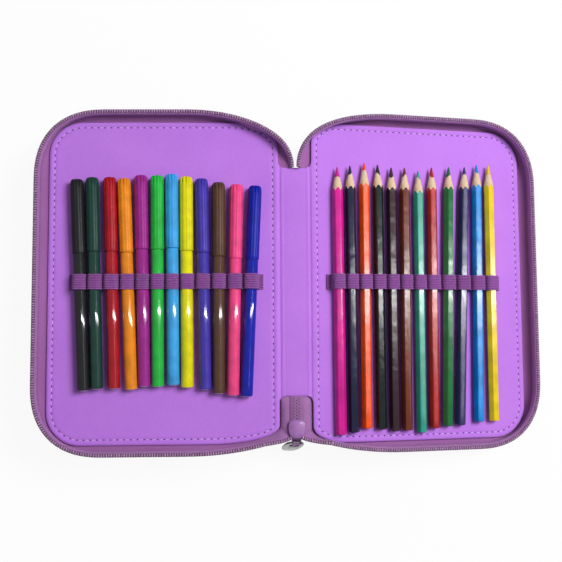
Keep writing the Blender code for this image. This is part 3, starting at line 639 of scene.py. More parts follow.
@dataclass(frozen=True)
class LeafShape:
    """Sizes of a leaf's outline and of the zip tape round it."""

    reach: float = 0.151
    half_height: float = 0.1055
    far_radius: float = 0.022
    head_corner: tuple[float, float, float] = (0.040, 0.017, 2.0)
    tail_corner: tuple[float, float, float] = (0.040, 0.017, 2.0)
    head_power: float = 2.0
    fold_gap: float = 0.0008
    side_splay: float = 0.0065
    end_splay: float = 0.005
    rim_radius: float = 0.045
    rim_power: float = 2.4
    notch: float = 0.0748
    standoff: float = 0.0006
    tail_rim: float = 56.0
    tail_root: float = 45.0
    station: float = 0.003
    fold_steps: int = 16
    far_steps: int = 12
    long_steps: int = 33
    end_parts: int = 18
    sweep_steps: int = 40

    def fold_corner(self, inset: float, start: float = 0.0, tail: bool = False) -> Line:
        """List the corner beside the fold, from the fold edge to the end edge, at the head or the tail."""
        reach, drop, power = self.tail_corner if tail else self.head_corner
        return arc((-self.fold_gap - reach, self.half_height - drop), (reach - inset, drop - inset),
                   start, 90, self.fold_steps, power)

    def far_corner(self, inset: float) -> Line:
        """List the corner away from the fold, from the end edge to the far edge."""
        return arc((self.far_radius - self.reach, self.half_height - self.far_radius),
                   (self.far_radius - inset, self.far_radius - inset), 90, 180, self.far_steps)

    def outline(self, inset: float) -> Points:
        """Return the closed outline at an inset, with as many points at every inset."""
        upper = self.fold_corner(inset) + self.far_corner(inset)
        lower = self.fold_corner(inset, 0.0, True) + self.far_corner(inset)
        corners = [np.array(upper), np.array([(x, -y) for x, y in reversed(lower)])]
        path: list[Points] = []
        for corner, following in zip(corners, corners[1:] + corners[:1]):
            path += [corner, np.linspace(corner[-1], following[0], self.long_steps + 1)[1:-1]]
        return self.split_long(np.vstack([*path, path[0][:1]]))

    def split_long(self, path: Points) -> Points:
        """Divide the end edges' long steps into equal parts, the same number at every inset."""
        steps = np.linalg.norm(np.diff(path, axis=0), axis=1)
        longest = set(np.argsort(steps)[-2:])
        result = []
        for index, (start, end) in enumerate(zip(path, path[1:])):
            parts = self.end_parts if index in longest else 1
            result += [start + (end - start) * part / parts for part in range(parts)]
        return np.array(result + [path[-1]])

    def pair(self, root: Points, rim: Points) -> tuple[Points, Points]:
        """Pair finely spaced points of the tape's root with the rim's at the same share of the way."""
        root, rim = np.array(root), np.array(rim)
        length = max(travel(root)[-1], travel(rim)[-1])
        shares = np.linspace(0, 1, max(2, math.ceil(length / self.station)) + 1)
        return tuple(points_at(path, shares * travel(path)[-1]) for path in (root, rim))

    def end_section(self, rim_end: float, sweep: tuple[float, float], rim_start: float = 0.0,
                    root_start: float = 0.0, tail: bool = False) -> tuple[Points, Points]:
        """Pair root and rim along the sweep from the notch to the straight end edge."""
        centre = (rim_end - sweep[0], self.half_height + self.end_splay - sweep[1])
        rim = arc(centre, sweep, rim_start, 90, self.sweep_steps, 2.0 if tail else self.head_power)
        root = self.fold_corner(-self.standoff, root_start, tail)
        if not rim_start:
            rim.insert(0, (rim_end, self.notch))
            root.insert(0, (root[0][0], self.notch))
        straight = self.straight_start(rim_end - sweep[0])
        for path in (root, rim):
            if path[-1][0] > straight + 0.0003:
                path.append((straight, path[-1][1]))
        return self.pair(root, rim)

    def straight_start(self, sweep_end: float) -> float:
        """Return where the end edge runs straight, clear of both fold corners and of the sweep."""
        return min(sweep_end, -self.fold_gap - max(self.head_corner[0], self.tail_corner[0]))

    def sections(self, rim_end: float, sweep: tuple[float, float],
                 tail: Optional[tuple[float, float]] = None) -> tuple[Points, Points]:
        """Pair the tape's root and rim all round the leaf.

        Args:
            rim_end: how far the rim reaches over the fold.
            sweep: the rim's sweep at the ends, across and along.
            tail: the sweep at the lower end, where it differs.

        Returns:
            The root's and the rim's points.
        """
        rim_top, rim_far = self.half_height + self.end_splay, -self.reach - self.side_splay
        root_top, root_far = self.half_height + self.standoff, -self.reach - self.standoff
        turn_x, turn_y = rim_far + self.rim_radius, rim_top - self.rim_radius
        start = self.straight_start(rim_end - sweep[0])
        head = self.end_section(rim_end, sweep)
        straight = self.pair([(start, root_top), (turn_x, root_top)], [(start, rim_top), (turn_x, rim_top)])
        corner = self.pair([(turn_x, root_top), *self.far_corner(-self.standoff), (root_far, turn_y)],
                           arc((turn_x, turn_y), (self.rim_radius, self.rim_radius), 90, 180,
                               self.sweep_steps, self.rim_power))
        edge = self.pair([(root_far, turn_y), (root_far, -turn_y)], [(rim_far, turn_y), (rim_far, -turn_y)])
        last = self.end_section(rim_end, sweep, tail=True)
        if tail:
            last = self.end_section(rim_end - sweep[0] + tail[0], tail, self.tail_rim, self.tail_root, True)
        mirrored = [tuple((path * (1, -1))[::-1] for path in part) for part in (corner, straight, last)]
        parts = [head, straight, corner, edge, *mirrored]
        return tuple(np.vstack([part[half][:-1] for part in parts] + [parts[-1][half][-1:]])
                     for half in (0, 1))


def curtain(foot: Points, hem: Points, share: Points, inward: Points,
            shoulder: Optional[Points] = None) -> Points:
    """Hang cloth between two edges: flat by its foot and steep by its hem, or the other way round.

    Args:
        foot: the lower edge's points.
        hem: the upper edge's points, as many.
        share: how far up the cloth each of the section's points is.
        inward: how far each lies inside the cloth's middle.
        shoulder: how far each station is steep by its foot instead, from 0 to 1.

    Returns:
        Points by station and by section point.
    """
    turn = share * math.pi / 2
    weight = (np.zeros(len(foot)) if shoulder is None else shoulder)[:, None]
    out = (1 - weight) * np.sin(turn) + weight * (1 - np.cos(turn))
    up = (1 - weight) * (1 - np.cos(turn)) + weight * np.sin(turn)
    span = (hem - foot)[:, None, :]
    points = foot[:, None, :] + span * np.stack([out, out, up], axis=-1)
    rate_out = (1 - weight) * np.cos(turn) + weight * np.sin(turn)
    rate_up = (1 - weight) * np.sin(turn) + weight * np.cos(turn)
    normal = unit(np.cross(unit(span * np.stack([rate_out, rate_out, rate_up], axis=-1)), ways(points)))
    return points + normal * inward[None, :, None]


@dataclass
class Leaf:
    """One fabric-covered leaf with its lining, stitches, wall, zip tape and chain."""

    name: str
    body: str
    place: LeafPlace
    shape: LeafShape
    rim_end: float
    sweep: tuple[float, float]
    chain_height: float
    root_depth: float
    prefix: str
    tail: Optional[tuple[float, float]] = None
    stitch_inset: float = 0.0038
    stitch_pitch: float = 0.0043
    stitch_sizes: tuple[float, float, float] = (0.00135, 0.00036, 0.0003)
    hole_shade_sizes: tuple[float, float, float] = (0.00062, 0.00052, 0.0002)
    hem_share: float = 0.60
    hem_pitch: float = 0.0033
    hem_sizes: tuple[float, float, float] = (0.00115, 0.00016, 0.00016)
    tooth_pitch: float = 0.0016
    tooth_sizes: tuple[float, float, float] = (0.00058, 0.00135, 0.0008)
    tooth_shift: float = 0.5
    seat: float = 0.0011
    flange_step: float = 0.003
    cord_step: float = 0.004
    cord_sizes: tuple[float, float] = (0.00115, 0.0004)
    cord_drop: float = 0.0002
    wall_length: float = 0.014
    cloth_half: float = 0.00042
    tape_half: float = 0.00022
    slack: float = 0.0
    slack_place: float = 0.017
    slack_reach: float = 0.010
    slack_way: tuple[float, float] = (-0.5, -0.86)
    ripple: float = 0.00006
    ripple_rates: tuple[float, float] = (95.0, 71.0)
    ripple_starts: tuple[float, float] = (1.3, 0.4)
    middle_half: float = 0.045
    border: tuple[tuple[float, float], ...] = (
        (0.0006, -0.00055), (0.0002, -0.0002), (0.0003, 0.00015), (0.0009, 0.00045), (0.0017, 0.0006),
        (0.0026, 0.00055), (0.0033, 0.00025), (0.0038, -0.00005), (0.0043, 0.00018), (0.0052, 0.00028),
        (0.0070, 0.00018), (0.0100, 0.00005))
    inner_shares: tuple[float, ...] = (0.08, 0.17, 0.27, 0.38, 0.5, 0.63, 0.77, 0.9, 1.0)
    sections: tuple[Points, Points] = field(init=False)

    def __post_init__(self) -> None:
        """Work out the tape's root and rim."""
        self.sections = self.shape.sections(self.rim_end, self.sweep, self.tail)

    def panel(self, work: BMesh, border: Sequence[tuple[float, float]], ripple: float = 0.0) -> None:
        """Add a padded panel over the whole leaf.

        Args:
            work: the mesh that takes it.
            border: insets and heights from the edge inwards.
            ripple: how far the cloth waves.
        """
        rings, heights = [], []
        for inset, height in border:
            rings.append(self.shape.outline(inset))
            heights.append(np.full(len(rings[-1]), height))
        last = rings[-1]
        middle = np.column_stack([np.full(len(last), -self.shape.reach / 2),
                                  np.clip(last[:, 1], -self.middle_half, self.middle_half)])
        for share in self.inner_shares:
            ring = last + (middle - last) * share
            rings.append(ring)
            waves = np.sin(ring * self.ripple_rates + self.ripple_starts)
            heights.append(border[-1][1] + waves[:, 0] * waves[:, 1] * ripple)
        flat = np.stack(rings, axis=1)
        tall = np.stack(heights, axis=1)[..., None]
        bend_grid(work, self.place.world(np.concatenate([flat, tall], axis=-1)), flat)
        close_ends(work)

    def build_lining(self, finish: Material) -> None:
        """Add the lining with its padded border and its stitch groove."""
        work = bmesh.new()
        self.panel(work, self.border, self.ripple)
        add_piece(work, self.name + "_lining_cloth", [finish], self.body, [self.prefix + "_lining"])

    def build_stitches(self, thread: Material, hole_shade: Material) -> None:
        """Add the lockstitch round the panel: a thread for each stitch and, between them, a dark bead that
        paints the shade in the needle holes.
        """
        path = self.shape.outline(self.stitch_inset)
        lines = [resample(path, self.stitch_pitch, offset) for offset in (0.5, 0.52, 1.0)]
        spots, ahead, gaps = (self.place.world(np.column_stack([line, np.full(len(line), height)]))
                              for line, height in zip(lines, (0.00016, 0.00016, 0.00008)))
        up = self.place.direction(UP)
        work = bmesh.new()
        add_beads(work, spots, ahead - spots, up, self.stitch_sizes)
        # Dark beads in the gaps between stitches: painted shade in the needle holes.
        add_beads(work, gaps, ahead - spots, up, self.hole_shade_sizes, 1, 6, 3)
        add_piece(work, self.name + "_stitches", [thread, hole_shade], self.body)

    def surface(self, share: Points, inward: Points) -> Points:
        """Return points of the wall.

        Args:
            share: how far up the wall each of the section's points is.
            inward: how far each lies inside the wall's middle.

        Returns:
            Points by station and by section point, in the leaf's frame.
        """
        root = self.sections[0]
        foot = np.column_stack([root, np.full(len(root), -self.root_depth)])
        points = curtain(foot, self.rim_path() - (0.0, 0.0, self.seat), share, inward)
        if self.slack:
            near = np.exp(-((root[:, 0] + self.slack_place) / self.slack_reach) ** 2) * (root[:, 1] > 0)
            sag = near[:, None] * np.sin(np.clip(share, 0, 1) * math.pi)[None, :] * self.slack
            points[..., :2] += sag[..., None] * self.slack_way
        return points

    def wall_strip(self, work: BMesh, profile: Sequence[tuple[float, float]]) -> None:
        """Add a strip of the wall with a closed profile of (share up the wall, inward offset)."""
        loop = np.array([*profile, profile[0]])
        points = self.place.world(self.surface(loop[:, 0], loop[:, 1]))
        bend_grid(work, points, cross_marks(travel(self.sections[1]), loop[:, 0] * self.wall_length))
        close_ends(work)

    def build_wall(self, cloth: Material, tape: Material, thread: Material) -> None:
        """Add the wall's two layers of cloth up to their hem, the zip tape above it and its stitches."""
        hem = self.hem_share
        rise = np.linspace(-0.09, hem - 0.04, 9)
        inner = [(share, self.cloth_half) for share in rise]
        outer = [(share, -self.cloth_half) for share in rise[::-1]]
        hem_roll = [(hem - 0.015, 0.0005), (hem, 0.00036), (hem + 0.004, 0.0), (hem, -0.00036),
                    (hem - 0.015, -0.0005)]
        work = bmesh.new()
        self.wall_strip(work, [*inner, *hem_roll, *outer])
        add_piece(work, self.name + "_wall_cloth", [cloth], self.body, [self.prefix + "_tape_wall"])
        rise = np.linspace(hem - 0.03, 0.985, 5)
        work = bmesh.new()
        self.wall_strip(work, [(share, self.tape_half) for share in rise] + [(1.0, 0.0)]
                        + [(share, -self.tape_half) for share in rise[::-1]])
        self.add_flange(work)
        add_piece(work, self.name + "_zip_tape", [tape], self.body)
        self.build_hem_stitches(thread)

    def add_flange(self, work: BMesh) -> None:
        """Add the tape's edge that the chain is sewn on: it bends inwards and lies beside the chain."""
        path = self.place.world(resample(self.rim_path(), self.flange_step))
        up = self.place.direction(UP)
        inward = unit(np.cross(up, ways(path))) * -self.place.side.value
        ribbon(work, path, inward, up, FLANGE, 0)

    def build_hem_stitches(self, thread: Material) -> None:
        """Add the line of small stitches along the hem, outside and inside."""
        work = bmesh.new()
        faces = self.surface(np.full(2, self.hem_share - 0.05), np.array([0.00048, -0.00048]))
        lines = self.place.world(faces)
        for row in range(2):
            spots, ahead = (resample(lines[:, row], self.hem_pitch, offset) for offset in (0.5, 0.55))
            add_beads(work, spots, ahead - spots, UP, self.hem_sizes, 0, 5, 3)
        add_piece(work, self.name + "_hem_stitches", [thread], self.body)

    def rim_path(self) -> Points:
        """Return the chain's middle line in the leaf's frame."""
        rim = self.sections[1]
        beyond = np.maximum(0.0, rim[:, 0])
        return np.column_stack([rim, np.sqrt(self.chain_height ** 2 - beyond ** 2)])

    def build_chain(self, coil: Material, core: Material) -> None:
        """Add the nylon coil: one rounded tooth for each turn, and the cord that they are sewn over."""
        path = self.place.world(self.rim_path())
        spots, line = resample(path, self.tooth_pitch, self.tooth_shift), resample(path, self.cord_step)
        up = self.place.direction(UP)
        work = bmesh.new()
        add_beads(work, spots, ways(spots), up, self.tooth_sizes)
        side = unit(np.cross(up, ways(line)))
        turns = np.linspace(0, 2 * math.pi, 8, endpoint=False)
        section = np.column_stack([np.cos(turns), np.sin(turns)]) * self.cord_sizes - (0.0, self.cord_drop)
        ribbon(work, line, side, unit(np.cross(ways(line), side)), section, 1)
        add_piece(work, self.name + "_coil", [coil, core], self.body, [self.prefix + "_zip_chain"],
                  80)

    def build_cover(self, finish: Material) -> None:
        """Add the outside cloth over the leaf's stiff board."""
        work = bmesh.new()
        self.panel(work, COVER)
        add_piece(work, self.name + "_cover_cloth", [finish], self.body, [self.prefix + "_outer_cover"])

    def build_core(self, finish: Material) -> None:
        """Add the cloth-bound edge of the divider's board."""
        work = bmesh.new()
        self.panel(work, BINDING)
        add_piece(work, self.name + "_binding", [finish], self.body, ["divider_board"])


# ---------------------------------------------------------------------------
# Spines, creases and the zip's closed end
# ---------------------------------------------------------------------------

@dataclass
class Spine:
    """A stiffened spine strip in its cloth, in a frame with the first fold on the y axis."""

    name: str
    place: LeafPlace
    width: float
    half_length: float = 0.075
    edge: float = 0.0008
    corner: float = 0.003
    crown: float = 0.0003
    slot: str = "lining_fabric"

    def build(self, finish: Material) -> None:
        """Add the strip with a slightly crowned face and rounded edges."""
        work = bmesh.new()
        rows = [(0.0008, -0.0016), (0.0001, -0.0013), (0.0, -0.0008), (0.0001, -0.0003), (0.0006, 0.0),
                (0.0016, 0.0001), (0.0034, 0.0002), (0.0060, self.crown), (0.0085, self.crown)]
        loops = []
        for inset, height in rows:
            radius = max(0.0004, self.corner - inset)
            low_x, high_x = self.edge + inset, self.width - self.edge - inset
            low_y, high_y = -self.half_length + inset, self.half_length - inset
            spots = ((high_x - radius, high_y - radius), (low_x + radius, high_y - radius),
                     (low_x + radius, low_y + radius), (high_x - radius, low_y + radius))
            corners = [np.array(arc(spot, (radius, radius), 90 * index, 90 * index + 90, 5))
                       for index, spot in enumerate(spots)]
            path = []
            for index, corner in enumerate(corners):
                following, count = corners[(index + 1) % 4], 24 if index % 2 else 4
                path += [corner, np.linspace(corner[-1], following[0], count + 1)[1:-1]]
            ring = np.vstack([*path, path[0][:1]])
            loops.append(np.column_stack([ring, np.full(len(ring), height)]))
        points = np.stack(loops, axis=1)
        bend_grid(work, self.place.world(points), points[..., :2])
        close_ends(work)
        add_piece(work, self.name + "_strip", [finish], self.name, [self.name])


@dataclass
class Crease:
    """A strip of cloth over one fold, between its two bodies."""

    name: str
    bodies: tuple[str, str]
    origin: Vector
    across: Vector
    up: Vector
    half_length: float = 0.075
    reach: tuple[float, float] = (0.0023, 0.0032)
    fillet: float = 0.0036
    lift: float = 0.00022
    dip: float = 0.0006
    thickness: float = 0.0003
    half_bend: float = 0.0012
    slot: str = "lining_fabric"

    def build(self, finish: Material) -> None:
        """Add the strip: its face dips at the fold, and its ends sweep into the leaf's edge."""
        columns = np.linspace(-self.reach[0], self.reach[1], 15)
        shares = np.linspace(-1, 1, 61)
        run = np.clip((columns + self.reach[0] * 0.35) / self.fillet, 0, 1)
        extra = self.fillet * (1 - np.sqrt(1 - (1 - run) ** 2))
        ends = self.half_length - 0.0002 + np.where(run < 1, extra, 0.0)
        depth = self.dip * np.exp(-(columns / 0.0007) ** 2)
        edges = np.minimum(columns + self.reach[0], self.reach[1] - columns)
        height = self.lift * np.clip(edges / 0.0008, 0, 1) - depth
        face = np.stack([np.repeat(columns[:, None], len(shares), 1), ends[:, None] * shares[None, :],
                         np.repeat(height[:, None], len(shares), 1)], axis=-1)
        back = face - np.array([0, 0, self.thickness])
        loop = np.concatenate([face, back[::-1], face[:1]], axis=0)
        basis = np.array([self.across, self.up.cross(self.across), self.up])
        work = bmesh.new()
        bend_grid(work, loop @ basis + np.array(self.origin), loop[..., :2])
        close_ends(work)
        start, end = (self.origin + self.across * far for far in (-self.half_bend, self.half_bend))
        add_piece(work, self.name, [finish], (*self.bodies, start, end))


@dataclass
class ZipEnd:
    """The upper zip's joined end: the closed chain below the spine, the tapes beside it and its mouth."""

    origin: Vector
    width: float = 0.020
    top: float = -0.0758
    bottom: float = -0.0990
    height: float = 0.00226
    half_chain: float = 0.0045
    row_pitch: float = 0.0019
    columns: tuple[float, float, float] = (-0.0017, 0.0001, 0.0018)
    drop: float = 0.0036
    tuck: float = 0.0009
    climb: float = 0.0060
    hole_shade_sizes: tuple[float, float, float] = (0.00042, 0.0004, 0.00016)
    loop_sizes: tuple[float, float, float] = (0.00085, 0.00036, 0.0003)
    tooth_sizes: tuple[float, float, float] = (0.00062, 0.00125, 0.0008)
    tooth_pitch: float = 0.0016
    mouth_gap: float = 0.0004
    fold_bend: tuple[float, float] = (0.006, 0.008)
    tape_half: float = 0.00018
    start_depth: float = 0.0009
    under: float = 0.0020
    steps: int = 12

    def chain_line(self, ys: Sequence[float], offset: float = 0.0, below: float = 0.0) -> Points:
        """Return points of the closed chain, which rises from under the spine's end to the mouth.

        Args:
            ys: places along the case, from the spine's fold frame.
            offset: how far they lie to the right of the chain's middle.
            below: how far they lie under it.

        Returns:
            Their places in the case.
        """
        ys = np.asarray(ys)
        climb = np.clip((self.top + 0.0008 - ys) / self.climb, 0, 1)
        heights = (self.height + self.start_depth) * climb ** 0.8 - self.start_depth
        xs = np.full(len(ys), self.origin.x + self.width / 2 + offset)
        return np.column_stack([xs, self.origin.y + ys, self.origin.z + heights - below])

    def build_chain(self, tape: Material, hole_shade: Material) -> None:
        """Add the closed chain's back: a crowned strip of tape with three rows of sewing over its loops,
        and dark beads that paint the shade in the sewing's holes.
        """
        path = self.chain_line(np.linspace(self.top + self.under, self.bottom, 20))
        half = self.half_chain
        rim = [(half + 0.0004, -0.0006), (half, -0.0002), (half - 0.0004, 0.0003), (0.0009, 0.0005)]
        section = [*((-x, z) for x, z in rim), (0.0, 0.0004), *reversed(rim), (half, -0.0009),
                   (-half, -0.0009)]
        work = bmesh.new()
        ribbon(work, path, RIGHT, UP, section)
        rows = np.arange(int((self.top - self.bottom) / self.row_pitch))
        for number, x in enumerate(self.columns):
            ys = self.top - 0.0008 - (rows + (0.5 if number == 1 else 0.0)) * self.row_pitch
            spots = self.chain_line(ys, x, -0.00045)
            # Dark beads: painted shade in the holes of the sewing.
            add_beads(work, spots, RIGHT, UP, self.hole_shade_sizes, 1, 6, 3)
            between = spots - (0.0, self.row_pitch / 2, 0.0001)
            add_beads(work, between, (1.0, 0.15, 0.0), UP, self.loop_sizes)
        add_piece(work, "upper_zip_end_coil", [tape, hole_shade], "upper_spine", ["upper_zip_end"],
                  80)

    def mouth_path(self, start: Points, side: int) -> Points:
        """Return the line of the teeth that part below the slider and run out to one leaf's rim."""
        middle = self.origin + Vector((self.width / 2 + side * 0.0016, self.bottom - self.mouth_gap,
                                       self.height))
        bend = middle + Vector((side * 0.0014, -0.0036, 0.0008))
        path = []
        for share in np.linspace(0, 1, 16):
            first, last = middle.lerp(bend, share), bend.lerp(Vector(start), share)
            path.append(first.lerp(last, share))
        return np.array(path)

    def carrier(self, side: int) -> Carrier:
        """Return the two bodies beside one side's cloth, with where a bend between them would start and
        end.
        """
        fold = self.origin.x + (0.0 if side < 0 else self.width)
        away = Vector((fold + side * self.fold_bend[0], self.origin.y, self.origin.z))
        near = Vector((fold - side * self.fold_bend[1], self.origin.y, self.origin.z))
        return ("divider_leaf" if side < 0 else "top_leaf", "upper_spine", away, near)

    def build_mouth(self, coil: Material, core: Material, start: Points, side: int) -> None:
        """Add one side's parted teeth and the cord that they are sewn over.

        Args:
            coil: the teeth's finish.
            core: the cord's finish.
            start: the rim's last point.
            side: minus one for the pens' leaf and one for the pencils'.
        """
        path = self.mouth_path(start, side)
        spots = resample(path, self.tooth_pitch)
        work = bmesh.new()
        add_beads(work, spots, ways(spots), UP, self.tooth_sizes)
        ribbon(work, path, unit(np.cross(UP, ways(path))), UP,
               ((0.0011, -0.0006), (0.0011, 0.0), (-0.0011, 0.0), (-0.0011, -0.0006)), 1)
        label = "left" if side < 0 else "right"
        add_piece(work, f"upper_zip_mouth_{label}_coil", [coil, core], self.carrier(side),
                  sharp=80)

    def build_tape(self, tape: Material, leaf: Leaf, side: int) -> None:
        """Add the tape between one leaf's fold and the closed chain, down to the mouth's teeth.

        Args:
            tape: the tape's finish.
            leaf: the leaf that it joins.
            side: minus one for the pens' leaf and one for the pencils'.
        """
        shape = leaf.shape
        inset = -shape.standoff if side < 0 else self.tuck
        corner = [(x, -y) for x, y in shape.fold_corner(inset, 0.0, True)][::-1]
        ends = leaf.sections[0][-1]
        corner = [ends] + [spot for spot in corner if spot[1] > ends[1] + 0.0001]
        edge = [corner[-1], (corner[-1][0], self.top + self.under)]
        mouth = self.mouth_path(leaf.place.world(leaf.rim_path()[-1:])[0], side)[::-1]
        chain = self.chain_line(np.linspace(self.bottom - self.mouth_gap, self.top + self.under, 20),
                                side * self.half_chain, 0.0005)
        feet, hems = [], []
        for foot, hem in ((corner, mouth), (edge, chain)):
            for path, out in ((np.array(foot), feet), (hem, hems)):
                out.append(points_at(path, np.linspace(0, travel(path)[-1], self.steps)))
        root = np.vstack([feet[0][:-1], feet[1]])
        rim = np.vstack([hems[0][:-1] - np.array([0, 0, 0.0009]), hems[1]])
        shoulder = np.clip(np.arange(len(root)) / (self.steps - 1), 0, 1)
        depth = leaf.root_depth + shoulder * self.drop * (1 if side > 0 else 0.25)
        foot_world = leaf.place.world(np.column_stack([root, -depth]))
        rise = np.linspace(-0.05, 1, 11)
        share = np.concatenate([rise, rise[::-1], rise[:1]])
        inward = np.repeat((self.tape_half, -self.tape_half, self.tape_half), (len(rise), len(rise), 1))
        work = bmesh.new()
        points = curtain(foot_world, rim, share, inward, shoulder)
        bend_grid(work, points, cross_marks(travel(rim), share * 0.008))
        close_ends(work)
        label = "left" if side < 0 else "right"
        add_piece(work, f"upper_zip_end_{label}_tape", [tape], self.carrier(side))


# ---------------------------------------------------------------------------
# Sliders and pulls
# ---------------------------------------------------------------------------

@dataclass
class Slider:
    """A zip slider and its pull, in a frame with the chain on y and the nose towards -y."""

    deck: str
    place: Matrix
    swing: float
    lean: float
    half_length: float = 0.006
    half_width: float = 0.0054
    plate: float = 0.0009
    gap: float = 0.00115
    loop_half_width: float = 0.0063
    loop_length: float = 0.0225
    loop_thickness: float = 0.0014
    domes: tuple[float, float] = (0.0007, 0.0011)
    post: tuple[float, float] = (0.0011, 0.0060)
    post_y: float = 0.0012
    bridge: tuple[float, float] = (0.0032, 0.00055)
    sharp_turn: float = 1.0
    bevel: float = 0.00045

    def half_width_at(self, share: float) -> float:
        """Return the shield's half width at a share of its length, from the nose to the shoulders."""
        spots = (0.0, 0.06, 0.15, 0.30, 0.50, 0.70, 0.88, 1.0)
        widths = (0.60, 0.66, 0.80, 0.93, 1.0, 0.97, 0.88, 0.78)
        return self.half_width * float(np.interp(share, spots, widths))

    def build_body(self, finish: Material) -> None:
        """Add the two domed plates, the post between them and the rounded bridge that holds the pull."""
        work = bmesh.new()
        for face in (1, -1):
            made = bmesh.ops.create_uvsphere(work, u_segments=28, v_segments=14, radius=1.0)["verts"]
            dome = self.domes[0 if face > 0 else 1]
            for vertex in made:
                x, y, z = vertex.co
                length = math.copysign(abs(y) ** 0.8, y)
                round_x = x / max(1e-6, math.sqrt(max(0.0, 1 - y * y)))
                taper = max(0.0, 1 - abs(length) ** 14) ** 0.5 * math.sqrt(max(0, 1 - z * z * 0.15))
                width = self.half_width_at((length + 1) / 2) * round_x * taper if abs(y) < 0.9999 else 0.0
                bulge = self.plate / 2 + (dome / 2 if z * face > 0 else 0.0)
                middle = face * (self.gap + self.plate / 2)
                vertex.co = (width, self.half_length * length, middle + z * bulge)
        made = bmesh.ops.create_cube(work, size=1.0)["verts"]
        bmesh.ops.scale(work, verts=made, vec=(*self.post, 2 * self.gap + self.plate))
        bmesh.ops.translate(work, verts=made, vec=(0, self.post_y, 0))
        line = np.array([(-0.0012, -0.0018), (-0.0032, -0.0029), (-0.0058, -0.0044), (-0.0082, -0.0058),
                         (-0.0100, -0.0056), (-0.0106, -0.0044)])
        path = resample(np.column_stack([np.zeros(len(line)), line]), 0.0008)
        turns = np.linspace(0, 2 * math.pi, 20, endpoint=False)
        section = np.column_stack([rounded(turns, 4.0)[0], rounded(turns, 2.5)[1]]) * self.bridge
        ribbon(work, path, RIGHT, unit(np.cross(RIGHT, ways(path))), section, 0)
        bmesh.ops.transform(work, matrix=self.place, verts=work.verts)
        add_piece(work, f"{self.deck}_zip_enamel", [finish], f"{self.deck}_slider",
                  [f"{self.deck}_zip_slider"], 60)

    def build_pull(self, finish: Material) -> None:
        """Add the loop: a rounded frame with a window, bevelled all round."""
        work = bmesh.new()
        turns = np.linspace(0, 2 * math.pi, 48, endpoint=False)
        loops = []
        for (half_width, low, high, power) in ((self.loop_half_width, -self.loop_length, 0.0009, 3.2),
                                               (self.loop_half_width - 0.0030, -0.0085, -0.0009, 3.6)):
            verts = []
            for across, along in zip(*rounded(turns, power)):
                y = (low + high) / 2 + along * (high - low) / 2
                waist = 1 - 0.16 * max(0.0, (-y - 0.012) / 0.011)
                verts.append(work.verts.new((half_width * across * waist, y, 0)))
            loops += [work.edges.new((verts[index], verts[index - 1])) for index in range(len(verts))]
        bmesh.ops.bridge_loops(work, edges=loops)
        bmesh.ops.recalc_face_normals(work, faces=work.faces)
        bmesh.ops.solidify(work, geom=work.faces[:], thickness=self.loop_thickness)
        middle = sum(vertex.co.z for vertex in work.verts) / len(work.verts)
        bmesh.ops.translate(work, verts=work.verts, vec=(0, 0, -middle))
        rims = [edge for edge in work.edges
                if len(edge.link_faces) == 2 and edge.calc_face_angle(0.0) > self.sharp_turn]
        bmesh.ops.bevel(work, geom=rims, offset=self.bevel, segments=3, profile=0.5, affect="EDGES",
                        material=-1)
        turn = Matrix.Rotation(self.swing, 4, "X") @ Matrix.Rotation(self.lean, 4, "Z")
        pivot = Vector(joint(f"{self.deck}_pull_swing")["pos_m"])
        place = Matrix.Translation(pivot) @ self.place.to_3x3().to_4x4() @ turn
        bmesh.ops.transform(work, matrix=place, verts=work.verts)
        add_piece(work, f"{self.deck}_zip_loop", [finish], f"{self.deck}_pull", [f"{self.deck}_zip_pull"],
                  60)


# ---------------------------------------------------------------------------
# Pens, pencils and their elastic bands
# ---------------------------------------------------------------------------

def rod_frame(node: str, slide: str) -> Matrix:
    """Return the place of a straight piece: its butt at the origin and its length on z.

    Args:
        node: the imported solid.
        slide: the joint that it slides on, from its butt to its tip.

    Returns:
        The matrix from the rod's own frame to the case.
    """
    direction = Vector(joint(slide)["axis"]).normalized()
    points = np.array([vertex.co for vertex in frame["nodes"][node].data.vertices])
    along = points @ np.array(direction)
    butt = Vector(points[along < along.min() + 0.0001].mean(axis=0))
    right = Vector(RIGHT)
    across = (right - direction * right.dot(direction)).normalized()
    turn = Matrix((across, direction.cross(across), direction)).transposed().to_4x4()
    return Matrix.Translation(butt) @ turn


def around(columns: int) -> Points:
    """Return the angles of the edges between a rod's facets, in radians."""
    return np.linspace(0, 2 * math.pi, columns + 1)


def turned_rod(work: BMesh, rows: Sequence[tuple], columns: int, place: Matrix,
               materials: Optional[Callable[[int, int], int]] = None) -> None:
    """Add a turned piece.

    Args:
        work: the mesh that takes it.
        rows: heights and radii in order along the surface, each for the whole row or for every angle.
        columns: facets round it.
        place: its place in the case.
        materials: gives the material number of a face by its column and row.
    """
    angles = around(columns)
    heights, radii = (np.stack([np.broadcast_to(row[part], angles.shape) for row in rows], axis=1)
                      for part in (0, 1))
    turned = angles[:, None]
    points = np.stack([radii * np.cos(turned), radii * np.sin(turned), heights], axis=-1)
    marks = np.stack(np.broadcast_arrays(turned / (2 * math.pi), heights), axis=-1)
    matrix = np.array(place)
    bend_grid(work, points @ matrix[:3, :3].T + matrix[:3, 3], marks, materials)


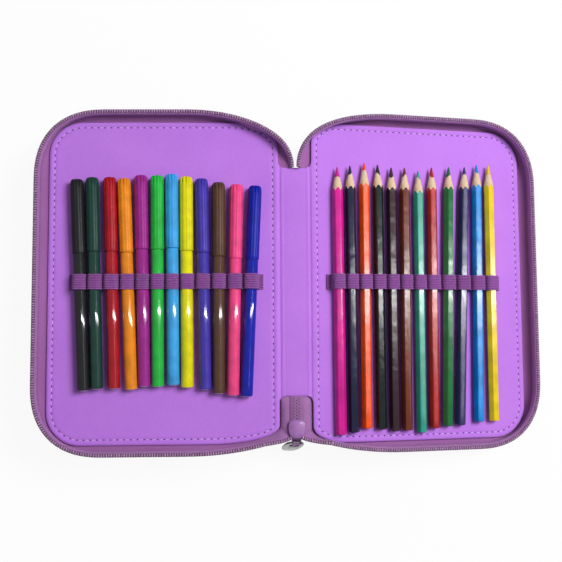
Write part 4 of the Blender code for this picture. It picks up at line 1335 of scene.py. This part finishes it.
@dataclass
class Pens:
    """Twelve felt pens with fluted caps."""

    colours: dict[str, Colour]
    length: float = 0.1365
    cap_length: float = 0.0485
    barrel_radius: float = 0.00405
    cap_radius: float = 0.0044
    lobes: int = 10
    columns: tuple[int, int] = (36, 80)

    def cap_swell(self, angles: Points, height: float, radius: float) -> Points:
        """Return the flutes' factor: shallow along the cap, and deep scallops at its crown."""
        share = min(1.0, max(0.0, (height - self.length + 0.0062) / 0.0045))
        depth = (0.055 + 0.190 * share) if radius > 0.0025 else 0.0
        return 1 - depth * (1 - np.abs(np.cos(angles * self.lobes / 2)) ** 0.6)

    def build(self) -> None:
        """Add every pen's barrel and cap."""
        plug = PlasticFinish("pen_end_plug", (226, 222, 216), 0.4, 0.1).make()
        for name, colour in self.colours.items():
            place = rod_frame(f"{name}_pen_barrel", f"{name}_pen_slide")
            barrel = PlasticFinish(f"{name}_barrel_plastic", colour, 0.04, 0.0, 0.42, 0.00001).make()
            cap = PlasticFinish(f"{name}_cap_plastic", colour, 0.3, 0.0, 0.22).make()
            nib = LeadFinish(f"{name}_nib_felt", colour).make()
            self.build_barrel(name, place, [barrel, plug, nib])
            self.build_cap(name, place, [cap])

    def build_barrel(self, name: str, place: Matrix, finishes: Sequence[Material]) -> None:
        """Add one barrel: its end plug, its glossy tube, its neck and its felt nib."""
        seam = self.length - self.cap_length
        radius = self.barrel_radius
        profile = [(0.0, 0.0), (0.0, radius * 0.50), (0.0002, radius * 0.66), (0.0006, radius * 0.74),
                   (0.0004, radius * 0.80), (0.0006, radius * 0.94), (0.0016, radius), (seam * 0.5, radius),
                   (seam - 0.0006, radius), (seam - 0.0001, radius * 0.97), (seam, 0.0033),
                   (seam + 0.0110, 0.0033), (seam + 0.0112, 0.0031), (seam + 0.0200, 0.0016),
                   (seam + 0.0200, 0.0009), (seam + 0.0222, 0.0008), (seam + 0.0230, 0.0004),
                   (seam + 0.0230, 0.0)]

        def finish_of(column: int, row: int) -> int:
            """Return the plug's, the tube's or the nib's number."""
            return 1 if row < 4 else (2 if row > 13 else 0)

        work = bmesh.new()
        turned_rod(work, profile, self.columns[0], place, finish_of)
        add_piece(work, f"{name}_felt_pen", finishes, f"{name}_pen", [f"{name}_pen_barrel"],
                  40)

    def build_cap(self, name: str, place: Matrix, finishes: Sequence[Material]) -> None:
        """Add one cap, open at its mouth, with flutes that end in a scalloped crown."""
        seam, top, radius = self.length - self.cap_length, self.length, self.cap_radius
        outer = [(seam + 0.0003, 0.0036), (seam + 0.0003, radius * 0.975), (seam + 0.0006, radius)]
        outer += [(height, radius) for height in np.linspace(seam + 0.004, top - 0.0062, 6)]
        outer += [(top - drop, radius * share) for drop, share in (
            (0.0046, 0.995), (0.0030, 0.98), (0.0018, 0.95), (0.0009, 0.90), (0.0003, 0.82), (0.0, 0.72),
            (0.0002, 0.60), (0.0012, 0.50), (0.0012, 0.0))]
        inner = [(seam + 0.0240, 0.0), (seam + 0.0240, 0.0024), (seam + 0.0120, 0.0036)]
        angles = around(self.columns[1])
        rows = [(height, reach * self.cap_swell(angles, height, reach))
                for height, reach in (*inner, *outer)]
        work = bmesh.new()
        turned_rod(work, rows, self.columns[1], place)
        add_piece(work, f"{name}_fluted_cap", finishes, f"{name}_cap", [f"{name}_pen_cap"],
                  60)


@dataclass
class Pencils:
    """Twelve six-sided coloured pencils, sharpened and painted."""

    colours: dict[str, Colour]
    length: float = 0.175
    radius: float = 0.00375
    cone: float = 0.0165
    tip: float = 0.0004
    columns: int = 48
    rolls: tuple[float, ...] = (0.0, 1.0, 12.0, 2.0, 4.0, 6.5, 10.5, 8.5, 19.0, 8.0, 8.0, 18.0)

    def flats(self, angles: Points) -> Points:
        """Return the rod's radius at each angle, with slightly rounded corners."""
        face = self.radius * math.cos(math.pi / 6)
        beyond = np.mod(angles, math.pi / 3) - math.pi / 6
        return np.minimum(face / np.cos(beyond), self.radius * 0.975)

    def build(self) -> None:
        """Add every pencil."""
        wood = WoodFinish("sharpened_wood", (238, 215, 182), (205, 168, 122)).make()
        for index, (name, colour) in enumerate(self.colours.items()):
            place = rod_frame(f"{name}_pencil", f"{name}_pencil_slide")
            paint = PaintFinish(f"{name}_lacquer", colour).make()
            lead = LeadFinish(f"{name}_lead", colour).make()
            self.build_pencil(name, place, [paint, wood, lead], index)

    def build_pencil(self, name: str, place: Matrix, finishes: Sequence[Material], index: int) -> None:
        """Add one pencil: the painted rod, the scalloped paint edge, the wood and the lead."""
        angles = around(self.columns)
        rod = self.flats(angles - math.radians(self.rolls[index]))
        slope = (self.radius - self.tip) / self.cone
        paint_edge = self.length - (rod - self.tip) / slope
        wood_edge = paint_edge + 0.0001
        wobble = 0.0011 * np.sin(angles + index * 1.7) + 0.0004 * np.sin(3 * angles + index * 2.3)
        lead_edge = self.length - 0.0060 + wobble

        def cone_row(start: Points, end: Points, share: float, inset: float = 0.0) -> tuple[Points, Points]:
            """Return the cone's heights and radii at a share of the way between two edges."""
            height = start + (end - start) * share
            return height, (self.length - height) * slope + self.tip - inset

        rows = [(0.0, 0.0), (0.0, rod * 0.82), (0.0003, rod * 0.95), (0.0009, rod)]
        rows += [(share * (self.length - self.cone), rod) for share in (0.25, 0.5, 0.75)]
        rows += [(paint_edge - 0.0004, rod), (paint_edge, rod), (wood_edge, rod - 0.00008)]
        rows += [cone_row(wood_edge, lead_edge, share, 0.00006 * (1 - share))
                 for share in (0.33, 0.66, 1.0)]
        rows.append((lead_edge + 0.0001, (self.length - lead_edge) * slope + self.tip - 0.00005))
        rows += [cone_row(lead_edge, self.length, share) for share in (0.5, 0.92)]
        rows += [(self.length, self.tip * 0.6), (self.length, 0.0)]

        def finish_of(column: int, row: int) -> int:
            """Return the paint's, the wood's or the lead's number."""
            return 0 if row < 8 else (1 if row < 12 else 2)

        work = bmesh.new()
        turned_rod(work, rows, self.columns, place, finish_of)
        add_piece(work, f"{name}_coloured_pencil", finishes, f"{name}_pencil", [f"{name}_pencil"],
                  24)


@dataclass
class ElasticBand:
    """A ribbed elastic band sewn down between the pens or pencils that it holds."""

    name: str
    body: str
    node: str
    place: LeafPlace
    rods: Sequence[tuple[float, float]]
    radius: float
    centre_y: float = -0.0007
    half_width: float = 0.005
    thickness: float = 0.0006
    ribs: int = 9
    rib_relief: float = 0.00042
    tab: float = 0.0034
    slit: float = 0.00048
    square: float = 0.5

    def centre_line(self) -> Points:
        """Return the band's line across the leaf, as places and heights."""
        rods = sorted(self.rods)
        reach = self.radius + 0.00022 + self.thickness / 2
        low = 0.0003 + self.thickness / 2
        gaps = [right[0] - left[0] for left, right in zip(rods, rods[1:])]
        first, last = rods[0][0], rods[-1][0]
        path = [(first - reach - self.tab, low), (first - reach - 0.0012, low)]
        for index, (x, height) in enumerate(rods):
            left = gaps[index - 1] / 2 - self.slit if index else reach + 0.0003
            right = gaps[index] / 2 - self.slit if index < len(gaps) else reach + 0.0003
            for turn in np.linspace(180, 0, 25):
                across, rise = math.cos(math.radians(turn)), math.sin(math.radians(turn))
                across = math.copysign(abs(across) ** self.square, across)
                path.append((x + across * (left if across < 0 else right),
                             low + 0.0004 + (height + reach - low - 0.0004) * rise ** self.square))
            if index < len(gaps):
                path.append((x + gaps[index] / 2, low))
        path += [(last + reach + 0.0012, low), (last + reach + self.tab, low)]
        return resample(np.array(path), 0.0006)

    def build(self, finish: Material) -> None:
        """Add the band with its ribs, and its flat ends."""
        line = self.centre_line()
        flat = np.column_stack([line[:, 0], np.full(len(line), self.centre_y), line[:, 1]])
        side = np.array((0.0, 1.0, 0.0))
        half = self.thickness / 2
        across = np.linspace(-self.half_width, self.half_width, self.ribs * 4 + 1)
        wave = np.abs(np.sin((across + self.half_width) / (2 * self.half_width) * self.ribs * math.pi))
        top = np.column_stack([across, half + self.rib_relief * (wave ** 0.6 - 1) + 0.00015])
        bottom = np.array([(self.half_width, -half + 0.0001), (self.half_width - 0.0003, -half),
                           (0.0, -half), (-self.half_width + 0.0003, -half),
                           (-self.half_width, -half + 0.0001)])
        loop = np.vstack([top, bottom, top[:1]])
        points = swept(flat, side, unit(np.cross(ways(flat), side)), loop)
        work = bmesh.new()
        bend_grid(work, self.place.world(points), cross_marks(travel(flat), loop[:, 0] + self.half_width))
        close_ends(work)
        add_piece(work, self.name, [finish], self.body, [self.node], 60)


# ---------------------------------------------------------------------------
# Studio
# ---------------------------------------------------------------------------

@dataclass
class Studio:
    """The floor, the light and the camera."""

    camera_place: Vector = field(default_factory=lambda: Vector((-0.021838, -0.042567, 0.5530)))
    camera_turn: tuple[float, float, float] = (0.0792609, -0.0246202, -0.0068152)
    lens: float = 51.16
    key_power: float = 13.4
    window_power: float = 16.0
    streak_power: float = 2.2
    sky: float = 0.24
    glossy_share: float = 0.2
    floor_size: float = 3.0
    floor_drop: float = 0.0003
    floor_colour: tuple[float, float, float, float] = (0.92, 0.92, 0.92, 1.0)
    floor_glow: float = 0.93

    def build(self) -> None:
        """Add the floor, the world, the lamps and the camera."""
        self.build_floor()
        self.build_world()
        self.add_lamp("upper_right_key", Vector((0.62, 0.32, 0.98)), (0.50, 0.50), self.key_power)
        self.add_lamp("window", Vector((0.95, 0.104, 1.35)), (1.6, 0.045), self.window_power, True)
        self.add_lamp("faint_streak", Vector((0.90, 0.055, 1.35)), (0.045, 1.2), self.streak_power, True)
        camera = bpy.data.objects.new("camera", bpy.data.cameras.new("camera"))
        camera.data.lens = self.lens
        camera.data.sensor_width = 36.0
        camera.data.clip_start = 0.01
        camera.location = self.camera_place
        camera.rotation_euler = self.camera_turn
        bpy.context.scene.collection.objects.link(camera)
        bpy.context.scene.camera = camera
        bpy.context.scene.view_settings.view_transform = "Standard"

    def add_lamp(self, name: str, place: Vector, sizes: tuple[float, float], power: float,
                 shines: bool = False) -> None:
        """Add a rectangular lamp that faces the case.

        Args:
            name: the lamp's name.
            place: where it hangs.
            sizes: how long it is across and along the case.
            power: its watts.
            shines: whether it only makes highlights; another lamp only lights the surfaces.
        """
        lamp = bpy.data.lights.new(name, "AREA")
        lamp.shape = "RECTANGLE"
        lamp.size_y, lamp.size = sizes
        lamp.energy = power
        item = bpy.data.objects.new(name, lamp)
        item.location = place
        item.visible_glossy, item.visible_diffuse = shines, not shines
        item.rotation_euler = Vector((-place.x, 0.0, -place.z)).to_track_quat("-Z", "Y").to_euler()
        bpy.context.scene.collection.objects.link(item)

    def build_floor(self) -> None:
        """Add the pale floor, which shows white to the camera and keeps the case's shadow."""
        work = bmesh.new()
        bmesh.ops.create_grid(work, x_segments=8, y_segments=8, size=self.floor_size)
        bmesh.ops.translate(work, verts=work.verts, vec=(0, 0, -self.floor_drop))
        mesh = bpy.data.meshes.new("floor")
        work.to_mesh(mesh)
        work.free()
        material = bpy.data.materials.new("pale_floor")
        material.use_nodes = True
        graph = Graph(material.node_tree)
        material.node_tree.nodes.remove(material.node_tree.nodes["Principled BSDF"])
        matte = graph.node("BsdfDiffuse", {"Color": self.floor_colour})
        glow = graph.node("Emission", {"Color": (1, 1, 1, 1), "Strength": 1.0})
        path = graph.node("LightPath").outputs
        rays = graph.math("MAXIMUM", path["Is Glossy Ray"], path["Is Transmission Ray"])
        rays = graph.math("MAXIMUM", path["Is Camera Ray"], rays)
        mixed = graph.node("MixShader", {0: graph.times(rays, self.floor_glow), 1: matte.outputs[0],
                                         2: glow.outputs[0]})
        graph.feed(material.node_tree.nodes["Material Output"], {0: mixed.outputs[0]})
        mesh.materials.append(material)
        floor = bpy.data.objects.new("floor", mesh)
        bpy.context.scene.collection.objects.link(floor)

    def build_world(self) -> None:
        """Make the surroundings a soft grey that shows white to the camera and in reflections."""
        world = bpy.data.worlds.new("studio")
        world.use_nodes = True
        graph = Graph(world.node_tree)
        path = graph.node("LightPath").outputs
        rays = graph.math("MAXIMUM", path["Is Camera Ray"], path["Is Transmission Ray"])
        rays = graph.math("MAXIMUM", rays, graph.times(path["Is Glossy Ray"], self.glossy_share))
        strength = graph.plus(graph.times(rays, 1.0 - self.sky), self.sky)
        graph.feed(world.node_tree.nodes["Background"], {"Color": (1, 1, 1, 1), "Strength": strength})
        bpy.context.scene.world = world


# ---------------------------------------------------------------------------
# The whole case
# ---------------------------------------------------------------------------

@dataclass
class PencilCase:
    """The whole case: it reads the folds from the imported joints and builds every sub-assembly."""

    upper_width: float = 0.020
    lower_width: float = 0.026
    upper_sweep: tuple[float, float] = (0.0684, 0.035)
    tail_sweep: tuple[float, float] = (0.0884, 0.035)
    lower_sweep: tuple[float, float] = (0.032, 0.024)
    upper_rim_end: float = 0.0084
    lower_rim_end: float = 0.0008
    upper_chain: float = 0.0087
    lower_chain: float = 0.0117
    lining: FabricFinish = FabricFinish("lining_weave", (203, 134, 242), (178, 108, 222), heather=0.14)
    wall: FabricFinish = FabricFinish("wall_weave", (168, 108, 172), (136, 80, 142), 0.0006)
    outside: FabricFinish = FabricFinish("outside_weave", (104, 74, 124), (60, 42, 76), 0.0008, 0.00009,
                                         heather=0.42, cloud=0.12)
    tape: FabricFinish = FabricFinish("zip_tape_weave", (178, 124, 184), (142, 92, 150), 0.0007,
                                      heather=0.2)
    # The elastic's darker colour also serves as the painted shade in the grooves between its ribs.
    elastic: FabricFinish = FabricFinish("elastic_weave", (172, 102, 188), (92, 42, 100), 0.0006, 0.00008,
                                         heather=0.16, cloud=0.18, sheen=0.15, ribs=0.01 / 9)
    chain_back: FabricFinish = FabricFinish("chain_back_weave", (166, 116, 170), (128, 84, 136), 0.0006,
                                            heather=0.25)

    upper_slider: Vector = field(default_factory=lambda: Vector((0.010, -0.0955, 0.00226)))
    lower_slider: Vector = field(default_factory=lambda: Vector((-0.068, 0.1105, -0.013)))
    pull_swing: float = 71.0
    pull_lean: float = -13.0

    def fold(self, name: str) -> Vector:
        """Return where a joint's axis lies."""
        return Vector(joint(name)["pos_m"])

    def build(self) -> None:
        """Build the finishes and every sub-assembly in turn."""
        lining, wall, outside, tape, elastic = (finish.make() for finish in (
            self.lining, self.wall, self.outside, self.tape, self.elastic))
        thread = ThreadFinish("sewing_thread", (232, 186, 252), (204, 148, 238), 0.45).make()
        # A dark finish for the beads that paint the shade in needle holes.
        hole_shade = ThreadFinish("needle_hole_shade", (66, 22, 92), (44, 12, 62), 0.8).make()
        hem_thread = ThreadFinish("hem_thread", (150, 98, 156), (112, 70, 120), 0.6).make()
        coil = ThreadFinish("nylon_coil", (192, 154, 192), (152, 114, 154), 0.4, 500.0).make()
        core = ThreadFinish("coil_cord", (120, 82, 122), (88, 56, 92), 0.8).make()
        flat, tilt = Matrix.Identity(3), self.tilt()
        base_fold, divider_fold = self.fold("lower_spine_fold"), self.fold("divider_fold")
        upper_fold, top_fold = self.fold("upper_spine_fold"), self.fold("top_leaf_fold")
        down = Matrix.Rotation(math.pi, 3, "X")
        places = {
            "base": LeafPlace(base_fold, flat),
            "under": LeafPlace(divider_fold, down),
            "pens": LeafPlace(upper_fold, flat),
            "pencils": LeafPlace(top_fold, Matrix.Rotation(tilt, 3, "Y"), Side.RIGHT),
        }
        head, tail = (0.030, 0.0175, 2.0), (0.045, 0.012, 2.0)
        left = LeafShape(head_corner=head, tail_corner=tail)
        turned = LeafShape(head_corner=tail, tail_corner=head)
        right = LeafShape(head_corner=(0.018, 0.015, 2.0), tail_corner=(0.024, 0.011, 2.0), head_power=2.4)
        lower = {"rim_end": self.lower_rim_end, "sweep": self.lower_sweep, "chain_height": self.lower_chain}
        upper = {"rim_end": self.upper_rim_end, "sweep": self.upper_sweep, "chain_height": self.upper_chain,
                 "tail": self.tail_sweep}
        leaves = [
            Leaf("base", "base_leaf", places["base"], left, prefix="base", root_depth=0.0021, **lower),
            Leaf("divider_under", "divider_leaf", places["under"], turned, prefix="divider_lower",
                 root_depth=0.0012, tooth_shift=0.999, **lower),
            Leaf("pens", "divider_leaf", places["pens"], left, prefix="divider_upper", root_depth=0.0012,
                 slack=0.003, **upper),
            Leaf("pencils", "top_leaf", places["pencils"], right, prefix="top", root_depth=0.0021, **upper),
        ]
        for leaf in leaves:
            leaf.build_lining(lining)
            leaf.build_stitches(thread, hole_shade)
            leaf.build_wall(wall, tape, hem_thread)
            leaf.build_chain(coil, core)
            if leaf.name == "pens":
                leaf.build_core(wall)
            elif leaf.name != "divider_under":
                leaf.build_cover(outside)
        self.build_spines(places, lining, outside)
        self.build_zips(leaves, coil, core, tape, hole_shade)
        pens, pencils = self.build_contents()
        ElasticBand("pen_band", "divider_leaf", "pen_elastic", places["pens"], pens, 0.0039).build(elastic)
        ElasticBand("pencil_band", "top_leaf", "pencil_elastic", places["pencils"], pencils,
                    0.00375).build(elastic)

    def tilt(self) -> float:
        """Return how far the top leaf tips down, so that its far edge lies on the table."""
        low, high = self.fold("lower_spine_fold").z, self.fold("top_leaf_fold").z
        reach = LeafShape().reach
        return math.asin(high / math.hypot(reach, low)) - math.atan2(low, reach)

    def build_spines(self, places: dict[str, LeafPlace], lining: Material,
                     outside: Material) -> None:
        """Add both spines and the cloth over their four folds."""
        upper, lower = places["pens"].origin, places["base"].origin
        Spine("upper_spine", LeafPlace(upper, Matrix.Identity(3)), self.upper_width).build(lining)
        Spine("lower_spine", LeafPlace(lower, Matrix.Rotation(-math.pi / 2, 3, "Y")), self.lower_width,
              slot="outer_fabric").build(outside)
        x, z = Vector(RIGHT), Vector(UP)
        Crease("upper_crease_pens", ("divider_leaf", "upper_spine"), upper, x, z).build(lining)
        Crease("upper_crease_pencils", ("top_leaf", "upper_spine"), upper + x * self.upper_width, -x,
               z).build(lining)
        outer = {"slot": "outer_fabric", "fillet": 0.002, "dip": 0.0003}
        Crease("lower_crease_base", ("base_leaf", "lower_spine"), lower + Vector((0.0012, 0, -0.0002)), z,
               x, **outer).build(outside)
        Crease("lower_crease_divider", ("divider_leaf", "lower_spine"),
               places["under"].origin + Vector((0.0012, 0, 0.0002)), -z, x, **outer).build(outside)

    def build_zips(self, leaves: Sequence[Leaf], coil: Material, core: Material,
                   tape: Material, hole_shade: Material) -> None:
        """Add the closed end of the upper zip, and both sliders with their pulls."""
        pens, pencils = leaves[2], leaves[3]
        end = ZipEnd(pens.place.origin)
        end.build_chain(self.chain_back.make(), hole_shade)
        for leaf, side in ((pens, -1), (pencils, 1)):
            end.build_mouth(coil, core, leaf.place.world(leaf.rim_path()[-1:])[0], side)
            end.build_tape(tape, leaf, side)
        enamel = EnamelFinish("slider_enamel", (150, 96, 166), 0.34, 0.5).make()
        clear = EnamelFinish("clouded_pull", (120, 118, 116), 0.22, 0.3, 0.35).make()
        upper = pens.place.origin + self.upper_slider
        lower = leaves[1].place.origin + self.lower_slider
        standing = Euler((math.pi / 2, -math.pi / 2, 0))
        for deck, centre, turn, swing, lean in (
                ("upper", upper, Euler(), self.pull_swing, self.pull_lean),
                ("lower", lower, standing, 0.0, 0.0)):
            place = Matrix.Translation(centre) @ turn.to_matrix().to_4x4()
            slider = Slider(deck, place, math.radians(swing), math.radians(lean))
            slider.build_body(enamel)
            slider.build_pull(clear)

    def build_contents(self) -> tuple[Line, Line]:
        """Add the pens and pencils, and return their places across the leaves and their axes' heights."""
        pen_colours = {
            "black": (35, 37, 39), "forest": (28, 66, 58), "red": (176, 24, 38), "orange": (244, 144, 28),
            "plum": (164, 40, 146), "green": (40, 190, 70), "sky": (62, 168, 238), "yellow": (238, 230, 6),
            "violet": (70, 56, 172), "brown": (92, 64, 48), "pink": (250, 74, 140), "blue": (12, 30, 168)}
        pencil_colours = {
            "magenta": (226, 30, 156), "navy": (26, 34, 66), "orange": (252, 82, 6), "bottle": (24, 36, 33),
            "mulberry": (58, 35, 46), "brown": (117, 51, 35), "teal": (46, 162, 140), "red": (182, 23, 25),
            "green": (32, 116, 60), "indigo": (54, 50, 100), "azure": (18, 144, 230),
            "yellow": (246, 212, 14)}
        Pens(pen_colours).build()
        Pencils(pencil_colours).build()
        places = []
        for names, suffix, slide, fold, tilt, height, side in (
                (pen_colours, "_pen_barrel", "_pen_slide", "upper_spine_fold", 0.0, 0.0046, -1),
                (pencil_colours, "_pencil", "_pencil_slide", "top_leaf_fold", self.tilt(), 0.00355, 1)):
            row, fold_at = [], self.fold(fold)
            for name in names:
                place = rod_frame(name + suffix, name + slide)
                butt, direction = place.translation, place.col[2].to_3d()
                share = (fold_at.y + ElasticBand.centre_y - butt.y) / direction.y
                spot = butt + direction * share - fold_at
                across = spot.x * math.cos(tilt) - spot.z * math.sin(tilt)
                row.append((side * -across, height))
            places.append(row)
        return tuple(places)


def main() -> None:
    """Build the case and the studio."""
    logging.basicConfig(level=logging.INFO, format="%(message)s")
    PencilCase().build()
    Studio().build()


if __name__ == "__main__":
    main()
